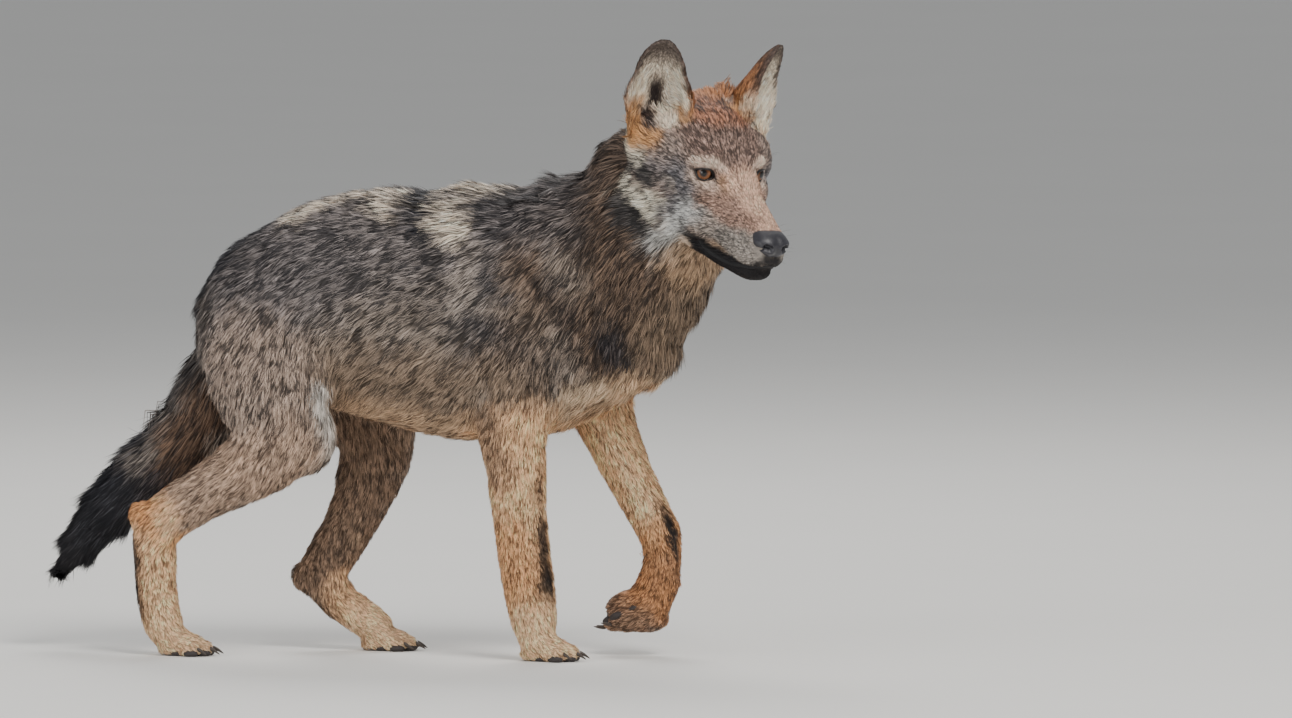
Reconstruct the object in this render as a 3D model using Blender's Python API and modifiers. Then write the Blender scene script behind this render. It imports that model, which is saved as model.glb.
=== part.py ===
"""A young grey wolf at a walk, life size, as one still museum model.

Metres, +X from rump to chest, +Y to the wolf's left, +Z up, floor at z = 0. The head is turned
to the right and a little down, the left forepaw is lifted and curled back, and the other three
paws stand flat. The solids give the outline of the coat. The body is modelled whole: closed forms
are fused by a voxel remesh and smoothed, then parted with thin cuts into named pieces. Ears, jaw,
nose, tail and claws are made apart and trimmed to the piece that carries them.
"""

import math

import bmesh
import bpy
import numpy as np
from mathutils import Matrix, Vector

# ---- driving dimensions, in metres and degrees ------------------------------------------------
HEAD_AT = Vector((0.396, -0.085, 0.597))  # midpoint between the eyes
HEAD_TURN = -45.0  # to the wolf's right
HEAD_DIP = 16.5  # muzzle below level
HEAD_TILT = -3.0  # roll, the left side lower
EYE_RADIUS = 0.0118
EYE_SPACING = 0.072  # between the eyeballs' centres
EYE_SET_BACK = 0.0095  # eyeball centre behind the plane of the pupils
EAR_LENGTH = 0.123
EAR_WIDTH = 0.080
EAR_WALL = 0.0052
EAR_LEANS = {"ear_right": 8.0, "ear_left": 16.0}  # outward from upright
EAR_ROOT = (-0.088, 0.060, 0.018)  # in the head's frame
EAR_FACES = (0.80, 0.60, 0.0)  # the way the cup opens, in the head's frame
EAR_TIP_WIDTH = 0.008
EAR_CURL = (100.0, 60.0)  # half the arc of the cup, at the root and at the tip
EAR_SPREAD = 0.27  # how much further the outer wall stands out than the inner, above the root
EAR_BOW = 0.006  # how far the middle of the back bulges
PAW_LENGTH = 0.082
PAW_WIDTH = 0.062
CLAW_LENGTH = 0.017
SOLE_SINK = 0.0022  # how far a planted pad is pressed flat by the floor

PART_GAP = 0.0004  # width of each thin cut
CLAW_GAP = 0.0008  # between a claw and the fur round it
VOXEL = 0.0034  # grain of the remesh that fuses the forms
RING_SIDES = 24  # points round a loft
RINGS_PER_STATION = 4  # rings between two named stations

# ---- stations of the lofts ---------------------------------------------------------------------
# Upright sections: name, x, top, bottom, half width.
TRUNK = (
    ("buttock", -0.286, 0.440, 0.372, 0.027),
    ("rump", -0.258, 0.486, 0.338, 0.059),
    ("croup", -0.212, 0.519, 0.322, 0.076),
    ("hip", -0.158, 0.549, 0.306, 0.080),
    ("loin", -0.098, 0.566, 0.294, 0.077),
    ("waist", -0.045, 0.572, 0.279, 0.082),
    ("last_rib", 0.010, 0.570, 0.266, 0.090),
    ("ribs", 0.065, 0.573, 0.262, 0.095),
    ("withers", 0.115, 0.576, 0.266, 0.092),
    ("shoulder", 0.168, 0.568, 0.276, 0.088),
    ("breast", 0.215, 0.535, 0.299, 0.079),
    ("brisket", 0.256, 0.480, 0.322, 0.063),
    ("forechest", 0.290, 0.430, 0.350, 0.038),
)
# Head sections in the head's own frame: name, x forward, top, bottom, half width.
SKULL = (
    ("occiput", -0.138, 0.034, -0.045, 0.038),
    ("nape", -0.116, 0.060, -0.066, 0.062),
    ("crown", -0.088, 0.069, -0.080, 0.071),
    ("temple", -0.055, 0.063, -0.086, 0.067),
    ("brow", -0.024, 0.046, -0.088, 0.055),
    ("eyes", 0.000, 0.025, -0.088, 0.0435),
    ("stop", 0.024, 0.005, -0.088, 0.0355),
    ("bridge", 0.050, -0.011, -0.088, 0.0305),
    ("muzzle", 0.080, -0.024, -0.088, 0.0275),
    ("lip", 0.102, -0.035, -0.085, 0.0245),
    ("snout", 0.114, -0.046, -0.076, 0.0165),
)
JAW = (
    ("jaw_hinge", -0.062, -0.060, -0.090, 0.040),
    ("jaw_angle", -0.038, -0.066, -0.102, 0.040),
    ("cheek_end", -0.008, -0.074, -0.106, 0.034),
    ("jaw_body", 0.026, -0.080, -0.1065, 0.0275),
    ("chin_back", 0.060, -0.080, -0.1065, 0.0238),
    ("chin", 0.088, -0.080, -0.1045, 0.0200),
    ("chin_tip", 0.101, -0.081, -0.0960, 0.0120),
)
# Sections across a bent path: name, x, y, z, half depth in the path's upright plane, half width.
NECK = (
    ("neck_root", 0.130, 0.000, 0.435, 0.128, 0.084),
    ("neck_base", 0.187, 0.000, 0.460, 0.131, 0.088),
    ("neck_low", 0.234, -0.001, 0.487, 0.129, 0.086),
    ("neck_mid", 0.264, -0.005, 0.515, 0.114, 0.078),
    ("neck_high", 0.289, -0.012, 0.546, 0.101, 0.068),
    ("neck_top", 0.312, -0.024, 0.580, 0.082, 0.060),
    ("poll", 0.328, -0.034, 0.606, 0.058, 0.048),
)
FORELEG_RIGHT = (
    ("upper_arm", 0.150, -0.056, 0.390, 0.058, 0.034),
    ("elbow", 0.118, -0.063, 0.300, 0.047, 0.033),
    ("forearm", 0.121, -0.062, 0.236, 0.0385, 0.0285),
    ("mid_forearm", 0.125, -0.060, 0.178, 0.0350, 0.0255),
    ("low_forearm", 0.131, -0.058, 0.122, 0.0335, 0.0240),
    ("wrist", 0.137, -0.057, 0.082, 0.0325, 0.0255),
    ("pastern", 0.1425, -0.056, 0.044, 0.0285, 0.0240),
    ("foot", 0.150, -0.056, 0.024, 0.0200, 0.0220),
)
FORELEG_LEFT = (
    ("upper_arm", 0.165, 0.048, 0.390, 0.056, 0.034),
    ("elbow", 0.196, 0.052, 0.318, 0.044, 0.033),
    ("forearm", 0.212, 0.053, 0.276, 0.0365, 0.0285),
    ("mid_forearm", 0.235, 0.053, 0.224, 0.0310, 0.0255),
    ("low_forearm", 0.260, 0.052, 0.178, 0.0280, 0.0240),
    ("wrist", 0.2805, 0.051, 0.137, 0.0275, 0.0255),
    ("pastern", 0.2785, 0.050, 0.102, 0.0265, 0.0240),
    ("foot", 0.263, 0.050, 0.064, 0.0270, 0.0235),
)
HINDLEG_RIGHT = (
    ("hip", -0.195, -0.046, 0.410, 0.072, 0.034),
    ("thigh", -0.183, -0.062, 0.335, 0.078, 0.034),
    ("stifle", -0.180, -0.066, 0.268, 0.060, 0.033),
    ("gaskin", -0.214, -0.067, 0.230, 0.044, 0.028),
    ("low_gaskin", -0.266, -0.067, 0.199, 0.0345, 0.0235),
    ("hock", -0.322, -0.066, 0.160, 0.0315, 0.0215),
    ("cannon", -0.329, -0.065, 0.112, 0.0270, 0.0205),
    ("low_cannon", -0.3255, -0.064, 0.066, 0.0258, 0.0210),
    ("pastern", -0.318, -0.064, 0.036, 0.0250, 0.0225),
    ("foot", -0.308, -0.064, 0.022, 0.0190, 0.0220),
)
HINDLEG_LEFT = (
    ("hip", -0.170, 0.044, 0.415, 0.070, 0.034),
    ("thigh", -0.132, 0.058, 0.345, 0.074, 0.034),
    ("stifle", -0.083, 0.062, 0.268, 0.053, 0.033),
    ("gaskin", -0.092, 0.063, 0.205, 0.041, 0.028),
    ("low_gaskin", -0.118, 0.063, 0.146, 0.0325, 0.0235),
    ("hock", -0.146, 0.062, 0.098, 0.0310, 0.0215),
    ("cannon", -0.131, 0.061, 0.065, 0.0255, 0.0205),
    ("low_cannon", -0.108, 0.060, 0.047, 0.0235, 0.0210),
    ("pastern", -0.088, 0.060, 0.034, 0.0220, 0.0225),
    ("foot", -0.072, 0.060, 0.022, 0.0190, 0.0220),
)
TAIL = (
    ("tail_root", -0.222, 0.000, 0.478, 0.026, 0.026),
    ("tail_bend", -0.254, 0.004, 0.422, 0.029, 0.030),
    ("tail_high", -0.264, 0.010, 0.343, 0.042, 0.033),
    ("tail_mid", -0.306, 0.016, 0.257, 0.051, 0.036),
    ("tail_low", -0.372, 0.018, 0.204, 0.037, 0.033),
    ("tail_end", -0.414, 0.018, 0.161, 0.031, 0.028),
    ("tail_taper", -0.449, 0.018, 0.117, 0.017, 0.017),
    ("tail_tip", -0.474, 0.018, 0.086, 0.004, 0.004),
)
# Rounded masses that the lofts don't give: name, centre, radii, turn about Y in degrees.
# In a pair, the left one mirrors the right one across the plane y = 0.
BODY_MASSES = (
    ("shoulder_blade_right", (0.128, -0.048, 0.470), (0.055, 0.036, 0.105), 18),
    ("shoulder_blade_left", (0.134, 0.048, 0.470), (0.055, 0.036, 0.105), 12),
    ("shoulder_point_right", (0.196, -0.048, 0.392), (0.056, 0.036, 0.062), 0),
    ("shoulder_point_left", (0.208, 0.046, 0.385), (0.056, 0.036, 0.060), 0),
    ("triceps_right", (0.112, -0.055, 0.345), (0.056, 0.033, 0.066), 10),
    ("triceps_left", (0.150, 0.053, 0.360), (0.056, 0.032, 0.062), -15),
    ("haunch_right", (-0.200, -0.048, 0.395), (0.082, 0.040, 0.098), 12),
    ("haunch_left", (-0.170, 0.046, 0.400), (0.086, 0.040, 0.100), -20),
    ("knee_right", (-0.146, -0.064, 0.272), (0.046, 0.030, 0.052), 0),
    ("knee_left", (-0.074, 0.060, 0.282), (0.044, 0.030, 0.054), 0),
    ("breast_ruff", (0.270, 0.000, 0.382), (0.046, 0.054, 0.058), 30),
    ("curled_palm_left", (0.231, 0.050, 0.063), (0.026, 0.022, 0.015), -30),
    ("mane", (0.262, -0.012, 0.590), (0.062, 0.052, 0.062), 0),
    ("withers_ruff", (0.060, 0.000, 0.544), (0.080, 0.040, 0.034), 0),
    ("hock_point_right", (-0.343, -0.066, 0.171), (0.021, 0.017, 0.019), 30),
    ("hock_point_left", (-0.168, 0.062, 0.089), (0.022, 0.017, 0.020), 40),
)
# Head masses in the head's frame, each on both sides unless its y is 0.
HEAD_MASSES = (
    ("cheekbone", (-0.036, 0.043, -0.020), (0.046, 0.0235, 0.026), 12),
    ("temple_fur", (-0.062, 0.054, 0.000), (0.042, 0.033, 0.040), 0),
    ("cheek_ruff", (-0.082, 0.056, -0.036), (0.048, 0.034, 0.046), 20),
    ("jaw_muscle", (-0.022, 0.033, -0.052), (0.048, 0.0245, 0.034), 8),
    ("low_ruff", (-0.062, 0.041, -0.070), (0.044, 0.034, 0.033), 0),
    ("brow", (-0.014, 0.030, 0.0125), (0.022, 0.0185, 0.0125), -25),
    ("upper_lip", (0.077, 0.0155, -0.068), (0.034, 0.0135, 0.0195), 4),
    ("ear_root", (-0.098, 0.062, 0.008), (0.036, 0.032, 0.038), 0),
    ("ear_back", (-0.134, 0.056, 0.044), (0.022, 0.020, 0.030), 0),
    ("crown_fur", (-0.114, 0.022, 0.050), (0.026, 0.026, 0.024), 0),
)
# ---- paws: a frame with X to the toes and Z up from the sole, its origin under the pastern -----
TOES = (  # across, forward reach of the tip and splay in degrees, as shares of the paw
    (-0.345, 0.60, -9),
    (-0.125, 0.76, -3),
    (0.125, 0.76, 3),
    (0.345, 0.60, 9),
)
PAWS = {  # origin, heading, tip down, size against the driving paw
    "forepaw_right": ((0.137, -0.056, -SOLE_SINK), -4, 0, 1.0),
    "hindpaw_right": ((-0.314, -0.064, -SOLE_SINK), -5, 0, 0.94),
    "hindpaw_left": ((-0.088, 0.060, -SOLE_SINK), 4, 0, 0.94),
    "forepaw_left": ((0.259, 0.050, 0.071), 0, 155, 1.0),
}
# Masses of a paw in shares of its length, but across in shares of its width: name, centre, radii,
# turn. Those of a toe are counted from its tip.
PAW_MASSES = (
    ("instep", (0.14, 0.0, 0.30), (0.36, 0.40, 0.20), 22),
    ("heel_pad", (0.10, 0.0, 0.145), (0.27, 0.36, 0.165), 0),
)
TOE_MASSES = (
    ("pad", (-0.20, 0.0, 0.148), (0.205, 0.135, 0.155), 12),
    ("knuckle", (-0.33, 0.0, 0.245), (0.17, 0.130, 0.135), 30),
)
CLAW_RISE = 0.155  # height of a claw's root over the sole, as a share of the paw's length
CLAW_ROOT = 0.006  # how far a claw starts behind the toe's tip
CLAW_THICK = (0.0040, 0.0006)  # half its height, at the root and at the point
CLAW_DROP = 0.0072  # fall of the point below the root
CLAW_BEND = (12.0, 60.0)  # dip at the root and at the point

# The nose's leather in the head's frame: name, centre, radii, turn; on both sides unless y is 0.
NOSE_MASSES = (
    ("dome", (0.1075, 0.0, -0.0495), (0.0145, 0.0190, 0.0125), 20),
    ("lip", (0.1095, 0.0, -0.0650), (0.0085, 0.0080, 0.0125), 0),
    ("wing", (0.1035, 0.0130, -0.0560), (0.0140, 0.0105, 0.0110), 12),
)
NOSE_VOXEL = 0.0013

# ---- cuts --------------------------------------------------------------------------------------
# Boxes across the axis of a piece: name, a point on the cut, way into the piece, half width,
# half height, reach. Each piece is what lies in its box, less the boxes before it.
BOX_CUTS = (
    ("forepaw_right", (0.142, -0.056, 0.052), (0.10, 0, -0.995), 0.07, 0.06, 0.12),
    ("hindpaw_right", (-0.318, -0.064, 0.049), (0.10, 0, -0.995), 0.05, 0.07, 0.12),
    ("hindpaw_left", (-0.098, 0.060, 0.040), (0.80, 0, -0.60), 0.05, 0.045, 0.12),
    ("forepaw_left", (0.279, 0.050, 0.098), (-0.25, 0, -0.97), 0.06, 0.075, 0.10),
)
# Wedges that part a leg from the trunk: name, side, back and front end, height between the legs,
# then how far out and how high the sloping cut leaves the flank.
LEG_CUTS = (
    ("foreleg_right", -1, 0.045, 0.205, 0.262, 0.100, 0.345),
    ("foreleg_left", 1, 0.105, 0.300, 0.275, 0.100, 0.365),
    ("hindleg_right", -1, -0.400, -0.102, 0.290, 0.090, 0.440),
    ("hindleg_left", 1, -0.300, -0.020, 0.290, 0.090, 0.440),
)
LEG_CUT_INNER = 0.006  # how far from the middle plane the wedges start
HEAD_CUT = ("head", (-0.096, 0.0, -0.030), (0.93, 0.0, 0.37), 0.16, 0.19, 0.30)  # in the head's frame
NECK_CUT = ("neck", (0.232, 0.0, 0.465), (0.90, 0, 0.44), 0.16, 0.185, 0.30)

TRIANGLE_SHARE = {  # of the fused body's triangles kept by each piece
    "head": 0.029,
    "neck": 0.012,
    "trunk": 0.011,
    "paw": 0.037,
    "leg": 0.013,
}
FINE_SHARE = 0.036  # of the triangles of the jaw, the nose and the tail

COLOURS = {  # base colour, roughness
    "coat_grey": ((0.165, 0.135, 0.110), 0.90),
    "coat_tan": ((0.420, 0.270, 0.160), 0.90),
    "coat_dark": ((0.030, 0.028, 0.030), 0.85),
    "nose_leather": ((0.020, 0.020, 0.024), 0.45),
    "eye_amber": ((0.300, 0.120, 0.030), 0.12),
    "claw_horn": ((0.022, 0.018, 0.016), 0.40),
}


# ---- helpers -----------------------------------------------------------------------------------
def clear_scene():
    for obj in list(bpy.data.objects):
        bpy.data.objects.remove(obj, do_unlink=True)


def collection(name, hidden=False):
    made = bpy.data.collections.new(name)
    made.hide_render = hidden
    bpy.context.scene.collection.children.link(made)
    return made


def material(name):
    colour, roughness = COLOURS[name]
    made = bpy.data.materials.get(name) or bpy.data.materials.new(name)
    made.use_nodes = True
    shader = made.node_tree.nodes["Principled BSDF"]
    shader.inputs["Base Color"].default_value = (*colour, 1.0)
    shader.inputs["Roughness"].default_value = roughness
    return made


def add_object(name, mesh, group, finish=None):
    obj = bpy.data.objects.new(name, mesh)
    group.objects.link(obj)
    if finish:
        mesh.materials.clear()
        mesh.materials.append(material(finish))
    if group.hide_render:
        obj.hide_render = True
        obj.display_type = "WIRE"
    return obj


def head_frame():
    """The matrix from the head's frame (forward, left, up, between the eyes) to the body's."""
    turn = Matrix.Rotation(math.radians(HEAD_TURN), 4, "Z")
    dip = Matrix.Rotation(math.radians(HEAD_DIP), 4, "Y")
    tilt = Matrix.Rotation(math.radians(HEAD_TILT), 4, "X")
    return Matrix.Translation(HEAD_AT) @ turn @ dip @ tilt


def between(rows, steps=RINGS_PER_STATION):
    """Rows of numbers, with Catmull-Rom rows set between each two."""
    rows = np.array(rows, float)
    ends = np.vstack([2 * rows[0] - rows[1], rows, 2 * rows[-1] - rows[-2]])
    made = []
    for i in range(len(rows) - 1):
        a, b, c, d = ends[i : i + 4]
        for step in range(steps):
            t = step / steps
            made.append(
                0.5 * (2 * b + (c - a) * t + (2 * a - 5 * b + 4 * c - d) * t**2)
                + 0.5 * (3 * b - a - 3 * c + d) * t**3
            )
    return [*made, rows[-1]]


def ring(centre, side, up, half_width, half_height, power=2.0, narrow_top=0.0):
    """A closed section. Power 2 is an ellipse, more is squarer; narrow_top pinches its top."""
    points = []
    for k in range(RING_SIDES):
        angle = 2 * math.pi * k / RING_SIDES
        across, rise = math.cos(angle), math.sin(angle)
        across = math.copysign(abs(across) ** (2 / power), across)
        rise = math.copysign(abs(rise) ** (2 / power), rise)
        across *= half_width * (1 - narrow_top * rise)
        points.append(centre + side * across + up * (half_height * rise))
    return points


def loft(name, rings, group):
    """A closed solid through rings of equal count."""
    bm = bmesh.new()
    loops = [[bm.verts.new(p) for p in points] for points in rings]
    for low, high in zip(loops, loops[1:]):
        for k in range(len(low)):
            n = (k + 1) % len(low)
            bm.faces.new((low[k], low[n], high[n], high[k]))
    bm.faces.new(loops[0])
    bm.faces.new(loops[-1])
    bmesh.ops.recalc_face_normals(bm, faces=bm.faces)
    mesh = bpy.data.meshes.new(name)
    bm.to_mesh(mesh)
    bm.free()
    return add_object(name, mesh, group)


def upright_loft(name, stations, group, frame=Matrix(), power=2.2, narrow_top=0.0):
    """A loft whose sections stand square to the frame's X axis."""
    rings = []
    for x, top, bottom, half_width in between([row[1:] for row in stations]):
        centre = Vector((x, 0, (top + bottom) / 2))
        sides = (Vector((0, 1, 0)), Vector((0, 0, 1)))
        section = ring(centre, *sides, half_width, (top - bottom) / 2, power, narrow_top)
        rings.append([frame @ p for p in section])
    return loft(name, rings, group)


def path_loft(name, stations, group, power=2.0):
    """A loft whose sections stand square to a bent path. Its width is along Y, as near as may be."""
    rows = between([row[1:] for row in stations])
    centres = [Vector(row[:3]) for row in rows]
    rings = []
    for k, (centre, row) in enumerate(zip(centres, rows)):
        along = (centres[min(k + 1, len(rows) - 1)] - centres[max(k - 1, 0)]).normalized()
        side = Vector((0, 1, 0))
        side = (side - along * side.dot(along)).normalized()
        rings.append(ring(centre, side, along.cross(side), row[4], row[3], power))
    return loft(name, rings, group)


def mass(name, centre, radii, group, turn=0.0, frame=Matrix()):
    """An ellipsoid, turned about its Y axis."""
    bm = bmesh.new()
    bmesh.ops.create_uvsphere(bm, u_segments=24, v_segments=16, radius=1.0)
    place = Matrix.Translation(centre) @ Matrix.Rotation(math.radians(turn), 4, "Y")
    bmesh.ops.transform(bm, matrix=frame @ place @ Matrix.Diagonal((*radii, 1)), verts=bm.verts)
    mesh = bpy.data.meshes.new(name)
    bm.to_mesh(mesh)
    bm.free()
    return add_object(name, mesh, group)


def evaluated_mesh(obj):
    bpy.context.view_layer.update()
    graph = bpy.context.evaluated_depsgraph_get()
    made = bpy.data.meshes.new_from_object(obj.evaluated_get(graph), depsgraph=graph)
    made.transform(obj.matrix_world)
    return made


def face_outward(mesh):
    bm = bmesh.new()
    bm.from_mesh(mesh)
    bmesh.ops.recalc_face_normals(bm, faces=bm.faces)
    bm.to_mesh(mesh)
    bm.free()


def joined(name, parts, group):
    """One object that holds the faces of all parts, which are then removed."""
    bm = bmesh.new()
    for part in parts:
        bm.from_mesh(evaluated_mesh(part))
        bpy.data.objects.remove(part)
    mesh = bpy.data.meshes.new(name)
    bm.to_mesh(mesh)
    bm.free()
    return add_object(name, mesh, group)


def fused(name, parts, group, voxel, passes, calm=None, calm_passes=0):
    """Overlapping closed forms made one smooth form. Calm tells, by place, what to smooth little."""
    whole = joined(name + "_shells", parts, group)
    remesh = whole.modifiers.new("fuse", "REMESH")
    remesh.mode = "VOXEL"
    remesh.voxel_size = voxel
    fused_form = add_object(name, evaluated_mesh(whole), group)
    bpy.data.objects.remove(whole)
    soft = fused_form.vertex_groups.new(name="soft")
    calm_group = fused_form.vertex_groups.new(name="calm")
    for vertex in fused_form.data.vertices:
        quiet = calm(vertex.co) if calm else 0.0
        soft.add([vertex.index], 1.0 - quiet, "REPLACE")
        calm_group.add([vertex.index], quiet, "REPLACE")
    for label, iterations in (("soft", passes), ("calm", calm_passes)):
        if iterations:
            smooth = fused_form.modifiers.new("smooth_" + label, "SMOOTH")
            smooth.factor = 0.5
            smooth.iterations = iterations
            smooth.vertex_group = label
    smoothed = add_object(name, evaluated_mesh(fused_form), group)
    bpy.data.objects.remove(fused_form)
    smoothed.name = name
    face_outward(smoothed.data)
    return smoothed


def boolean(obj, cutter, operation):
    modifier = obj.modifiers.new(operation.lower() + "_" + cutter.name, "BOOLEAN")
    modifier.operation = operation
    modifier.object = cutter
    modifier.solver = "EXACT"
    modifier.use_self = cutter.name.startswith("room_for_")


def thin_out(obj, kept_share):
    modifier = obj.modifiers.new("thin_out", "DECIMATE")
    modifier.ratio = kept_share


def grown(obj, group, by):
    """A copy of obj's evaluated mesh, swollen a little, to trim others with."""
    copy = add_object("room_for_" + obj.name, evaluated_mesh(obj), group)
    swell = copy.modifiers.new("swell", "DISPLACE")
    swell.strength = by
    swell.mid_level = 0.0
    return copy


def cut_box(name, point, way, half_width, half_height, reach, group, grow=0.0):
    """A box that starts at point and reaches along way. Its width is across, level with the floor."""
    way = Vector(way).normalized()
    level = Vector((0, 1, 0)) if abs(way.y) < 0.6 else Vector((1, 0, 0))
    across = (level - way * level.dot(way)).normalized()
    upward = way.cross(across)
    bm = bmesh.new()
    bmesh.ops.create_cube(bm, size=2.0)
    size = Vector((half_width + grow, half_height + grow, reach / 2 + grow))
    turn = Matrix((across, upward, way)).transposed().to_4x4()
    place = Matrix.Translation(Vector(point) + way * (reach / 2)) @ turn
    bmesh.ops.transform(bm, matrix=place @ Matrix.Diagonal((*size, 1)), verts=bm.verts)
    bmesh.ops.recalc_face_normals(bm, faces=bm.faces)
    mesh = bpy.data.meshes.new(name)
    bm.to_mesh(mesh)
    bm.free()
    return add_object(name, mesh, group)


def leg_wedge(name, side, back, front, low, out, high, group, grow=0.0):
    """The space of one leg: under a cut that slopes up and out from between the legs to the flank."""
    far, floor = 0.4, -0.05
    inner = LEG_CUT_INNER - grow
    slope = ((inner, low + grow), (out - grow, high + grow))
    profile = ((inner, floor), *slope, (far, high + grow), (far, floor))
    bm = bmesh.new()
    ends = [[bm.verts.new((x, side * y, z)) for y, z in profile] for x in (back - grow, front + grow)]
    for k in range(len(profile)):
        n = (k + 1) % len(profile)
        bm.faces.new((ends[0][k], ends[0][n], ends[1][n], ends[1][k]))
    bm.faces.new(ends[0])
    bm.faces.new(ends[1])
    bmesh.ops.recalc_face_normals(bm, faces=bm.faces)
    mesh = bpy.data.meshes.new(name)
    bm.to_mesh(mesh)
    bm.free()
    return add_object(name, mesh, group)


# ---- the body's forms --------------------------------------------------------------------------
def paw_frame(at, heading, tip_down):
    """Frame of a paw: X to the toes, Z up from the sole, its origin under the pastern."""
    turn = Matrix.Rotation(math.radians(heading), 4, "Z")
    return Matrix.Translation(at) @ turn @ Matrix.Rotation(math.radians(tip_down), 4, "Y")


def toe_tips(paw):
    """Where each toe of a paw ends, at sole height, and the way it points, in the body's frame."""
    at, heading, tip_down, size = PAWS[paw]
    frame = paw_frame(Vector(at), heading, tip_down)
    length, width = PAW_LENGTH * size, PAW_WIDTH * size
    for across, reach, splay in TOES:
        tip = Vector((length * reach, width * across, 0.0))
        yield frame, tip, math.radians(splay), length


def paw_forms(paw, group):
    at, heading, tip_down, size = PAWS[paw]
    frame = paw_frame(Vector(at), heading, tip_down)
    share = Matrix.Diagonal((PAW_LENGTH * size, PAW_WIDTH * size, PAW_LENGTH * size))
    forms = []
    for name, centre, radii, turn in PAW_MASSES:
        size_and_place = (share @ Vector(centre), share @ Vector(radii))
        forms.append(mass(f"{paw}_{name}", *size_and_place, group, turn, frame))
    for n, (_, tip, splay, _) in enumerate(toe_tips(paw)):
        toe_frame = frame @ Matrix.Translation(tip) @ Matrix.Rotation(splay, 4, "Z")
        for name, centre, radii, turn in TOE_MASSES:
            size_and_place = (share @ Vector(centre), share @ Vector(radii))
            forms.append(mass(f"{paw}_toe_{n}_{name}", *size_and_place, group, turn, toe_frame))
    return forms


def body_forms(group):
    head = head_frame()
    forms = [
        upright_loft("trunk_form", TRUNK, group, narrow_top=-0.02),
        path_loft("neck_form", NECK, group),
        upright_loft("skull_form", SKULL, group, head, power=2.35, narrow_top=0.05),
    ]
    limbs = (FORELEG_RIGHT, FORELEG_LEFT, HINDLEG_RIGHT, HINDLEG_LEFT)
    forms += [path_loft(f"limb_form_{n}", stations, group) for n, stations in enumerate(limbs)]
    for name, centre, radii, turn in BODY_MASSES:
        forms.append(mass(name, centre, radii, group, turn))
    for name, (x, y, z), radii, turn in HEAD_MASSES:
        for side in (-1, 1):
            forms.append(mass(f"{name}_{side}", (x, side * y, z), radii, group, turn, head))
    for paw in PAWS:
        forms += paw_forms(paw, group)
    return forms


def calm_places(place):
    """1 on the face and the feet, which keep their small forms, and 0 on the rest."""
    fade = 0.05
    face_from, feet_below = -0.045, 0.135
    ahead = (head_frame().inverted() @ place).x
    face = min(1.0, max(0.0, (ahead - face_from) / fade))
    feet = min(1.0, max(0.0, (feet_below - place.z) / fade))
    return max(face, feet)


# ---- pieces made apart -------------------------------------------------------------------------
def ear_form(name, side, group):
    """A cupped leaf, wide and rolled at its root, which opens forward and outward."""
    mirror = Matrix.Diagonal((1, side, 1))
    root = mirror @ Vector(EAR_ROOT)
    lean = math.radians(EAR_LEANS[name])
    axis = Vector((0, side * math.sin(lean), math.cos(lean)))
    opening = mirror @ Vector(EAR_FACES)
    opening = (opening - axis * opening.dot(axis)).normalized()
    across = axis.cross(opening)
    rows, columns = 9, 7
    frame = head_frame()
    bm = bmesh.new()
    grid = []
    for i in range(rows):
        v = 1 - (1 - i / (rows - 1)) ** 1.5
        swell = 0.84 + 0.16 * math.sin(math.pi * min(1, v * 1.6))
        half_width = max(EAR_WIDTH * swell * (1 - v**3.0) ** 0.54, EAR_TIP_WIDTH) / 2
        spread = EAR_SPREAD * min(1.0, max(0.0, (v - 0.25) / 0.6))
        curl = math.radians(EAR_CURL[0] + (EAR_CURL[1] - EAR_CURL[0]) * v)
        radius = half_width / math.sin(curl)
        line = []
        for j in range(columns):
            angle = curl * (2 * j / (columns - 1) - 1)
            forward = radius * (1 - math.cos(angle)) - 0.50 * half_width
            aside = radius * math.sin(angle)
            if aside * across.y * side > 0:
                aside *= 1 + spread
            bow = EAR_BOW * math.sin(math.pi * v)
            rise = axis * (EAR_LENGTH * v)
            place = root + rise + across * aside + opening * (forward - bow)
            line.append(bm.verts.new(frame @ place))
        grid.append(line)
    for low, high in zip(grid, grid[1:]):
        for j in range(columns - 1):
            bm.faces.new((low[j], low[j + 1], high[j + 1], high[j]))
    bmesh.ops.recalc_face_normals(bm, faces=bm.faces)
    mesh = bpy.data.meshes.new(name + "_form")
    bm.to_mesh(mesh)
    bm.free()
    ear = add_object(name + "_form", mesh, group)
    wall = ear.modifiers.new("wall", "SOLIDIFY")
    wall.thickness = EAR_WALL
    wall.offset = 0.0
    return ear


def nose_form(group):
    """The leather of the nose: a dome with a wing on each side and a lip below."""
    lobes = []
    for name, (x, y, z), radii, turn in NOSE_MASSES:
        for side in (-1, 1):
            lobes.append(mass(f"nose_{name}_{side}", (x, side * y, z), radii, group, turn, head_frame()))
    return fused("nose_form", lobes, group, NOSE_VOXEL, 5)


def eyeball(side, group):
    bm = bmesh.new()
    bmesh.ops.create_uvsphere(bm, u_segments=14, v_segments=8, radius=EYE_RADIUS)
    mesh = bpy.data.meshes.new("eyeball")
    bm.to_mesh(mesh)
    bm.free()
    mesh.shade_smooth()
    eye = add_object("eye_left" if side > 0 else "eye_right", mesh, group, "eye_amber")
    centre = Vector((-EYE_SET_BACK, side * EYE_SPACING / 2, 0.0))
    eye.matrix_world = head_frame() @ Matrix.Translation(centre)
    return eye


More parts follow.
